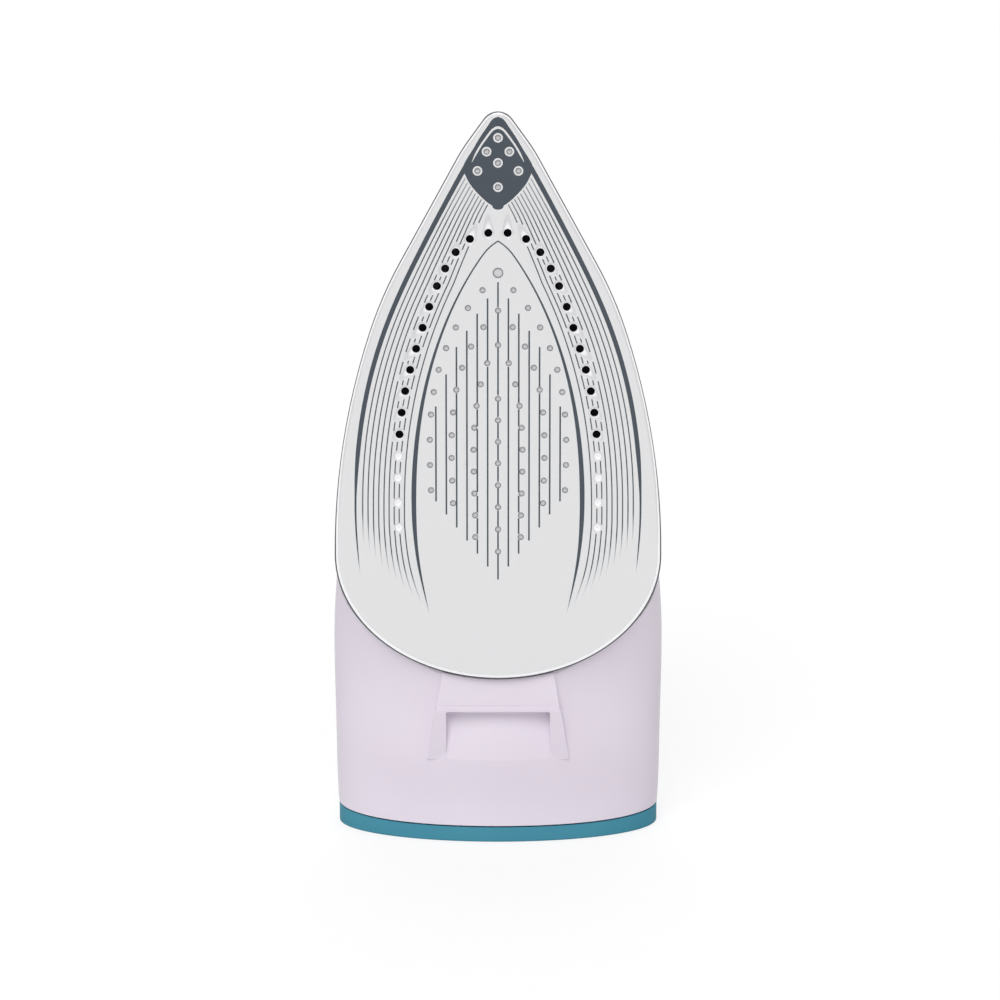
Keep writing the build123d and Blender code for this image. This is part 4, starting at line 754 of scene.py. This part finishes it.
skins, tones = [], []
for n, top in enumerate(UPRIGHT_TOPS):
    heights = np.arange(UPRIGHT_FOOT + n * UPRIGHT_FOOT_STEP, top, UPRIGHT_STEP)
    line = np.stack([np.full(len(heights), n * UPRIGHT_PITCH), heights], axis=1)
    runs = mirrored_runs if n else printed_runs
    full = np.ones(len(line))
    more_skins, more_tones = runs(line, UPRIGHT_WIDTH * full, full, LINE_SHARE)
    skins += more_skins
    tones += more_tones
make_piece("print_upright_lines", skins, ink, "iron", tones)

# %% [markdown]
# ### Nose
# The tip carries a solid patch of ink with bare rings round its dimples and a bare arch above them.
# It is a flat curve of several closed outlines: Blender fills between them, so each inner outline is
# a hole. The filled curve is made a mesh and then stood up on the face. It is a little thinner than
# the lines, so the band runs over it cleanly where the two meet.

# %% Nose patch
NOSE_SIDE = [(0.0, 275.4), (1.7, 274.7), (3.3, 272.7), (6.1, 268.6), (9.3, 263.2), (12.6, 257.4),
             (13.0, 256.2)]
NOSE_LOWER = [(12.2, 255.3), (10.4, 251.5), (6.8, 247.1), (3.2, 243.9), (2.1, 243.2)]
NUB_HALF = 2.0
NUB_Z = 242.9
NUB_DROP = 1.2
NOSE_DIMPLES = [(0.0, 267.8), (4.1, 262.8), (-4.1, 262.8), (0.0, 258.7), (7.4, 255.8), (-7.4, 255.8),
                (0.0, 249.9)]
RING_R = 1.75
CHEVRON_ARM = [(9.4, 259.0), (8.3, 261.3), (6.2, 265.0), (3.5, 268.8), (1.6, 270.9)]
CHEVRON_PEAK = (0.0, 271.5)
CHEVRON_HALF = ([0.0, 2.0, 8.0, 9.4], [0.5, 0.38, 0.34, 0.08])
PATCH_HALF_T = 0.02


def nose_outline():
    """Right half down the bowed side, along the hollow lower edge and round the nub, then mirrored."""
    side = smooth_curve(NOSE_SIDE, count=40)
    lower = smooth_curve(NOSE_LOWER, count=24)
    turn = np.linspace(0.0, np.pi / 2, 8)
    nub = np.stack([NUB_HALF * np.cos(turn), NUB_Z - NUB_DROP * np.sin(turn)], axis=1)
    right = np.concatenate([side, lower, nub])
    return np.concatenate([right, (right[1:-1] * [-1, 1])[::-1]])


def round_outline(x, z, radius):
    """Circle as a closed outline."""
    turn = np.linspace(0.0, 2 * np.pi, 40, endpoint=False)
    return np.stack([x + radius * np.cos(turn), z + radius * np.sin(turn)], axis=1)


def chevron_outline():
    """Arch of tapering width: its middle line moved out and in by half the width."""
    other_arm = [(-x, z) for x, z in reversed(CHEVRON_ARM)]
    path = smooth_curve([*CHEVRON_ARM, CHEVRON_PEAK, *other_arm], count=72)
    side = sideways(path, np.interp(np.abs(path[:, 0]), *CHEVRON_HALF))
    return np.concatenate([path + side, (path - side)[::-1]])


def filled_print(name, outlines, material):
    """Flat curve filled between its outlines, made a mesh and stood up on the gliding face."""
    curve = bpy.data.curves.new(name, "CURVE")
    curve.dimensions = "2D"
    curve.fill_mode = "BOTH"
    curve.extrude = PATCH_HALF_T
    for outline in outlines:
        line = curve.splines.new("POLY")
        line.points.add(len(outline) - 1)
        flat = np.column_stack([outline, np.zeros(len(outline)), np.ones(len(outline))])
        line.points.foreach_set("co", flat.ravel())
        line.use_cyclic_u = True
    drawing = bpy.data.objects.new(name, curve)
    bpy.context.scene.collection.objects.link(drawing)
    depsgraph = bpy.context.evaluated_depsgraph_get()
    mesh = bpy.data.meshes.new_from_object(drawing.evaluated_get(depsgraph))
    bpy.data.objects.remove(drawing)
    corners = np.empty(len(mesh.vertices) * 3)
    mesh.vertices.foreach_get("co", corners)
    x, z, lift = corners.reshape(-1, 3).T
    faces = [list(polygon.vertices) for polygon in mesh.polygons]
    points = np.stack([x, SOLE_Y - lift, z], axis=1)
    bpy.data.meshes.remove(mesh)
    return make_piece(name, [(points, faces)], material, "iron", [np.ones(len(points))])


outlines = [nose_outline(), chevron_outline()]
outlines += [round_outline(x, z, RING_R) for x, z in NOSE_DIMPLES]
filled_print("print_nose_patch", outlines, ink)

# %% [markdown]
# ## Edge of the gliding face
# The rounded edge of the face is polished bare, and it mirrors the white table as a bright line.
# Beyond it the side of the plate is bare metal, made dark grey as painted shade. Both are thin skins
# over the rounding: an arc of the edge's radius carried round the outline of the sole. The outline is
# read from the solid, as the corners where the rounding ends, in order round a point inside. Behind,
# the bright arc is wide and ends early, and along the sides it is narrow.

# %% Edge
EDGE_R = 1.8
EDGE_PROUD = 0.02
EDGE_T = 0.06
EDGE_POINTS = 9
OUTLINE_STEP = 1.0
INSIDE = (0.0, 150.0)
BRIGHT_START = ([90.0, 150.0], [0.05, 0.6])
BRIGHT_DEPTH = ([90.0, 150.0], [0.33, ENAMEL_DEPTH])


def solid_corners(node, depth):
    """Corners of a solid that lie at this depth behind the face, as (x, z) points."""
    mesh = frame["nodes"][node].data
    corners = np.empty(len(mesh.vertices) * 3)
    mesh.vertices.foreach_get("co", corners)
    corners = corners.reshape(-1, 3) / MM
    return corners[np.abs(corners[:, 1] - SOLE_Y - depth) < FLAT_TOLERANCE][:, [0, 2]]


def sole_outline():
    """Closed outline of the plate as (x, z) points about a step apart: the corners of the solid where
    the rounding ends, sorted by their direction from a point inside and spaced evenly along the way."""
    ends = solid_corners("sole_face", EDGE_R)
    x, z = (ends - INSIDE).T
    ends = ends[np.argsort(np.arctan2(z, x))]
    ends = np.concatenate([ends, ends[:1]])
    way = np.append(0.0, np.cumsum(np.linalg.norm(np.diff(ends, axis=0), axis=1)))
    steps = np.linspace(0.0, way[-1], int(way[-1] / OUTLINE_STEP), endpoint=False)
    return np.stack([np.interp(steps, way, ends[:, 0]), np.interp(steps, way, ends[:, 1])], axis=1)


outline = sole_outline()
along = np.roll(outline, -1, axis=0) - np.roll(outline, 1, axis=0)
along /= np.linalg.norm(along, axis=1)[:, None]
outward = np.stack([along[:, 1], -along[:, 0]], axis=1)


def edge_arc(turn, radius):
    """Points on the rounding at this radius, for each place on the outline and each turn."""
    reach = radius * np.sin(turn) - EDGE_R
    flat = outline[:, None] + outward[:, None] * reach[..., None]
    depth = SOLE_Y + EDGE_R - radius * np.cos(turn)
    return np.stack([flat[..., 0], depth, flat[..., 1]], axis=-1)


def edge_skin(first, last):
    """Thin closed skin over the rounding between two turns, counted from the face to the side."""
    turn = first[:, None] + (last - first)[:, None] * np.linspace(0.0, 1.0, EDGE_POINTS)[None]
    outer, inner = edge_arc(turn, EDGE_R + EDGE_PROUD), edge_arc(turn, EDGE_R - EDGE_T)
    return ring_stack(np.concatenate([outer, inner[:, ::-1]], axis=1), loop=True)


bright_from = by_height(BRIGHT_START, outline)
bright_to = np.arccos(1.0 - by_height(BRIGHT_DEPTH, outline) / EDGE_R)
bright = metal("polished_edge", srgb(250, 250, 251), srgb(244, 244, 246), 0.14, (0.3, 1.0, 0.3), 0.4, 0.002)
make_piece("polished_edge", [edge_skin(bright_from, bright_to)], bright, "iron", smooth=True)

# The dark grey of the plate's side is painted shade.
dark_side_metal = metal("plate_side_shade", srgb(92, 94, 98), srgb(84, 86, 90), 0.5, (0.3, 1.0, 0.3), 0.5)
side_end = np.full(len(outline), np.pi / 2)
make_piece("plate_side_shade", [edge_skin(bright_to, side_end)], dark_side_metal, "iron", smooth=True)

# %% [markdown]
# ## Rims of the dimples
# Each dimple's steep wall carries a fine grey ring of painted shade, standing in for the shadow in
# the dimple. Colour on the wall alone would hardly show from the front, so each ring is a thin skin
# over the wall that reaches a little way out on the face. The places come from the solid: its corners
# at the bottom of the dimples are put together when they are within reach of each other.

# %% Dimple rims
DIMPLE_DROP = 0.7
DIMPLE_FLOOR_SHARE = 0.85
DIMPLE_REACH = 3.3
RIM_OUT = 0.1
RIM_T = 0.05
RIM_PROUD = 0.015
RIM_POINTS = 32


def dimple_places():
    """Centres and bottom radii of the dimples: a corner belongs with the first corner in its reach."""
    bottoms = solid_corners("sole_face", DIMPLE_DROP)
    apart = np.linalg.norm(bottoms[:, None] - bottoms[None], axis=2)
    group = np.argmax(apart < DIMPLE_REACH, axis=1)
    rings = [bottoms[group == first] for first in np.unique(group)]
    centres = np.array([(ring.min(axis=0) + ring.max(axis=0)) / 2 for ring in rings])
    radii = np.array([np.ptp(ring[:, 0]) / 2 for ring in rings])
    return centres, radii


def rim_skin(centre, low_r):
    """Ring over one wall: from a little outside the mouth down to the bottom, turned round the centre."""
    mouth_r = low_r / DIMPLE_FLOOR_SHARE
    radius = np.array([mouth_r + RIM_OUT, mouth_r - RIM_T, low_r - RIM_T, low_r + RIM_T])
    depth = SOLE_Y + np.array([-RIM_PROUD, -RIM_PROUD, DIMPLE_DROP - RIM_T, DIMPLE_DROP + RIM_T])
    turn = np.linspace(0.0, 2 * np.pi, RIM_POINTS, endpoint=False)[:, None]
    x = centre[0] + radius * np.cos(turn)
    z = centre[1] + radius * np.sin(turn)
    return ring_stack(np.stack([x, np.broadcast_to(depth, x.shape), z], axis=-1), loop=True)


centres, low_radii = dimple_places()
# The grey of the rings is painted shade.
rim_shade_tone = plastic("dimple_rim_shade", srgb(150, 151, 153), srgb(140, 141, 144), 0.5, 0.3, 0.004)
rims = [rim_skin(centre, low_r) for centre, low_r in zip(centres, low_radii)]
make_piece("dimple_shade_rims", rims, rim_shade_tone, "iron", smooth=True)
mouths = np.unique(np.round(low_radii / DIMPLE_FLOOR_SHARE, 2))
print("dimples:", len(centres), "with mouths of radius", mouths.tolist())

# %% [markdown]
# ## Springs under the buttons
# Each button is pushed back by a coil spring. The solid in the frame can't shorten, so a coil of the
# same size takes its place. It is a circle carried along a helix whose first and last turns lie flat.

# %% Springs
BUTTON_X = 9.5
BUTTON_Z = 160.0
SPRING_LOW = 106.0
SPRING_HIGH = 121.0
SPRING_R = 3.7
SPRING_WIRE_R = 0.5
SPRING_TURNS = 6.0
SPRING_RISE = ([0.0, 1.0, SPRING_TURNS - 1, SPRING_TURNS], [0.0, 0.07, 0.93, 1.0])
SPRING_POINTS = 220
WIRE_POINTS = 12
ALONG_Y = [0.0, 1.0, 0.0]


def tube(path, radius):
    """Round tube: at each point of a path a circle stands across the path's direction. One axis of
    the circle is square to the path and to Y, and the other is square to the path and the first."""
    along = np.gradient(path, axis=0)
    along /= np.linalg.norm(along, axis=1)[:, None]
    first = np.cross(along, ALONG_Y)
    first /= np.linalg.norm(first, axis=1)[:, None]
    second = np.cross(along, first)
    turn = np.linspace(0.0, 2 * np.pi, WIRE_POINTS, endpoint=False)[None, :, None]
    return path[:, None] + radius * (np.cos(turn) * first[:, None] + np.sin(turn) * second[:, None])


def coil_path(middle):
    """Helix about a line along Y: its rise is slow in the first and last turn and steady between."""
    turns = np.linspace(0.0, 1.0, SPRING_POINTS) * SPRING_TURNS
    low = SOLE_Y + SPRING_LOW + SPRING_WIRE_R
    high = SOLE_Y + SPRING_HIGH - SPRING_WIRE_R
    x = middle + SPRING_R * np.cos(2 * np.pi * turns)
    y = low + (high - low) * np.interp(turns, *SPRING_RISE)
    z = BUTTON_Z + SPRING_R * np.sin(2 * np.pi * turns)
    return np.stack([x, y, z], axis=1)


for key, side in (("steam", -1), ("spray", 1)):
    rings = tube(coil_path(side * BUTTON_X), SPRING_WIRE_R)
    coil = make_piece(f"{key}_coil", [ring_stack(rings)], steel, "iron", smooth=True)
    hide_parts(f"{key}_spring")
    foot = (side * BUTTON_X * MM, (SOLE_Y + SPRING_LOW) * MM, BUTTON_Z * MM)
    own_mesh(coil)

# %% [markdown]
# ## Marks on the controls
# The marks on the controls are pad printed in white. They could be colours in the material, but each
# is a thin slab instead, because a slab keeps its outline from any distance. It follows the top that
# it lies on: a top may slope, so a mark's height over the table sets how far back it lies.

# %% Mark helpers
white = plastic("white_print", srgb(238, 240, 241), srgb(232, 235, 236), 0.5, 0.3, 0.004)


def slab(outline, depth, slope=0.0, middle=0.0):
    """Thin slab with an outline of (x, z) points, on a top at this depth that slopes about a height."""
    x, z = outline.T
    top = SOLE_Y + depth + slope * (z - middle)
    return ring_stack(np.stack([np.stack([x, top + step, z], axis=1) for step in (-INK_SUNK, INK_T)]))


def ribbon(path, width):
    """Outline of a band of this width along a path."""
    side = sideways(path, np.full(len(path), width / 2))
    return np.concatenate([path + side, (path - side)[::-1]])


def spoke(x, z, turn, reach):
    """Point at the end of a spoke from (x, z): its reach times the sine and cosine of its turn from
    straight up, in degrees."""
    return x + reach * np.sin(np.radians(turn)), z + reach * np.cos(np.radians(turn))


print("marks are", INK_T, "mm thick, in", white.name)

# %% [markdown]
# ### Dial and knob
# The dial carries one, two and three dots for the heat, and a bar for the hottest setting. A pointer
# on the handle shows which of them is set, and stays where it is when the dial turns. The dosing knob
# has one line on its top.

# %% Dial and knob
DIAL_Z = 95.0
DIAL_TOP = 86.4
DIAL_MARK_R = 17.0
DOT_GROUPS = ((60.0, 1), (130.0, 2), (200.0, 3))
DOT_STEP = 8.0
DOT_R = 0.8
BAR_TURNS = np.linspace(250.0, 275.0, 12)
BAR_WIDTH = 1.4
GAP_FLOOR = 78.0
POINTER_LOW = 25.0
POINTER_HIGH = 29.0
POINTER_HALF = 2.0
KNOB_Z = 182.0
KNOB_TOP = 141.0
KNOB_LINE_LOW = 2.5
KNOB_LINE_HIGH = 8.2
KNOB_LINE_WIDTH = 1.3

marks = []
for turn, count in DOT_GROUPS:
    for n in range(count):
        dot_turn = turn + DOT_STEP * (n - (count - 1) / 2)
        marks.append(round_outline(*spoke(0.0, DIAL_Z, dot_turn, DIAL_MARK_R), DOT_R))
bar = np.stack(spoke(0.0, DIAL_Z, BAR_TURNS, DIAL_MARK_R), axis=1)
marks.append(ribbon(bar, BAR_WIDTH))
make_piece("dial_marks", [slab(mark, DIAL_TOP) for mark in marks], white, "dial")

pointer = np.array([[0.0, POINTER_LOW], [POINTER_HALF, POINTER_HIGH], [-POINTER_HALF, POINTER_HIGH]])
pointer_slab = slab(pointer + [0.0, DIAL_Z], GAP_FLOOR)
make_piece("dial_pointer", [pointer_slab], ink, "iron", [np.ones(len(pointer_slab[0]))])

knob_path = np.linspace([0.0, KNOB_Z + KNOB_LINE_LOW], [0.0, KNOB_Z + KNOB_LINE_HIGH], 4)
knob_line = ribbon(knob_path, KNOB_LINE_WIDTH)
make_piece("knob_mark", [slab(knob_line, KNOB_TOP)], white, "dosing_knob")

# %% [markdown]
# ### Buttons
# The steam button shows three waves and the spray button a fan of dots. The tops of the buttons slope
# like the crown of the handle, and so do their marks.

# %% Buttons
BUTTON_TOP = 140.74
CROWN_SLOPE = -19.0 / 105.0
WAVE_HALF = 4.6
WAVE_SWING = 0.75
WAVE_RADIANS_PER_MM = 1.05
WAVE_WIDTH = 0.95
WAVE_PLACES = (-3.1, 0.0, 3.1)
FAN_DROP = 4.2
FAN_REACHES = (2.2, 5.0, 7.8)
FAN_TURNS = (-30.0, 0.0, 30.0)
FAN_DOT_R = 0.62

rise = np.linspace(-WAVE_HALF, WAVE_HALF, 28)
sway = WAVE_SWING * np.sin(rise * WAVE_RADIANS_PER_MM)
waves = [
    ribbon(np.stack([x - BUTTON_X + sway, BUTTON_Z + rise], axis=1), WAVE_WIDTH)
    for x in WAVE_PLACES
]
wave_slabs = [slab(mark, BUTTON_TOP, CROWN_SLOPE, BUTTON_Z) for mark in waves]
make_piece("steam_mark", wave_slabs, white, "steam_key")

fan = [
    round_outline(*spoke(BUTTON_X, BUTTON_Z - FAN_DROP, turn, reach), FAN_DOT_R)
    for reach in FAN_REACHES
    for turn in FAN_TURNS
]
fan_slabs = [slab(mark, BUTTON_TOP, CROWN_SLOPE, BUTTON_Z) for mark in fan]
make_piece("spray_mark", fan_slabs, white, "spray_key")

# %% [markdown]
# ## Rings of the cord inlet
# The collar of the cord inlet has three raised rings to grip it by. Each is a round bead along a
# circle across the collar's axis, which slants down and back: a torus, worked out from two angles.
# The axis is that of the inlet's bore, and the ball that it swivels on is the joint's place.

# %% Rings
COLLAR_R = 6.0
BEAD_REACHES = (11.2, 13.0, 14.8)
BEAD_R = 0.5
BEAD_PROUD = 0.2
ACROSS = np.array([1.0, 0.0, 0.0])

record = frame["record"]
inlet = next(mount for mount in record["mounts"] if mount["name"] == "cord_inlet")
swivel = next(joint for joint in record["behaviour"]["joints"] if joint["name"] == "cord_turn")
collar_axis = np.array(inlet["axis"], float)
ball = np.array(swivel["pos_m"]) / MM
upright = np.cross(collar_axis, ACROSS)
turn = np.linspace(0.0, 2 * np.pi, 72, endpoint=False)[:, None]
circle = (np.cos(turn) * ACROSS + np.sin(turn) * upright)[:, None]
bead = np.linspace(0.0, 2 * np.pi, 12, endpoint=False)[None]
radius = (COLLAR_R + BEAD_PROUD + BEAD_R * np.cos(bead))[..., None]
beads = []
for reach in BEAD_REACHES:
    lift = (reach + BEAD_R * np.sin(bead))[..., None]
    beads.append(ring_stack(ball + radius * circle + lift * collar_axis, loop=True))
make_piece("gland_rings", beads, black, "cord_swivel", smooth=True)

# %% [markdown]
# ## Screw heads
# Under the heel each screw head has a cross recess. It is seen only when the iron is lifted, so a thin
# dark cross on the head does for it. One arm, set four times a right angle apart, makes the cross.

# %% Screw heads
HEAD_Z = 1.2
SCREWS = [(52.0, 61.0), (36.0, 25.5), (14.0, 96.0)]
CROSS_HALF = 1.8
CROSS_BAR = 0.45

arm = np.array([[CROSS_HALF, -CROSS_BAR], [CROSS_HALF, CROSS_BAR], [CROSS_BAR, CROSS_BAR]])
quarter = np.array([[0.0, -1.0], [1.0, 0.0]])
cross = np.concatenate([arm @ np.linalg.matrix_power(quarter, n).T for n in range(4)])
crosses = []
for x, depth in SCREWS + [(-x, depth) for x, depth in SCREWS]:
    flat = cross + [x, SOLE_Y + depth]
    layers = [np.column_stack([flat, np.full(len(flat), HEAD_Z + step)]) for step in (-INK_T, INK_SUNK)]
    crosses.append(ring_stack(np.stack(layers)))
make_piece("screw_crosses", crosses, black, "iron")
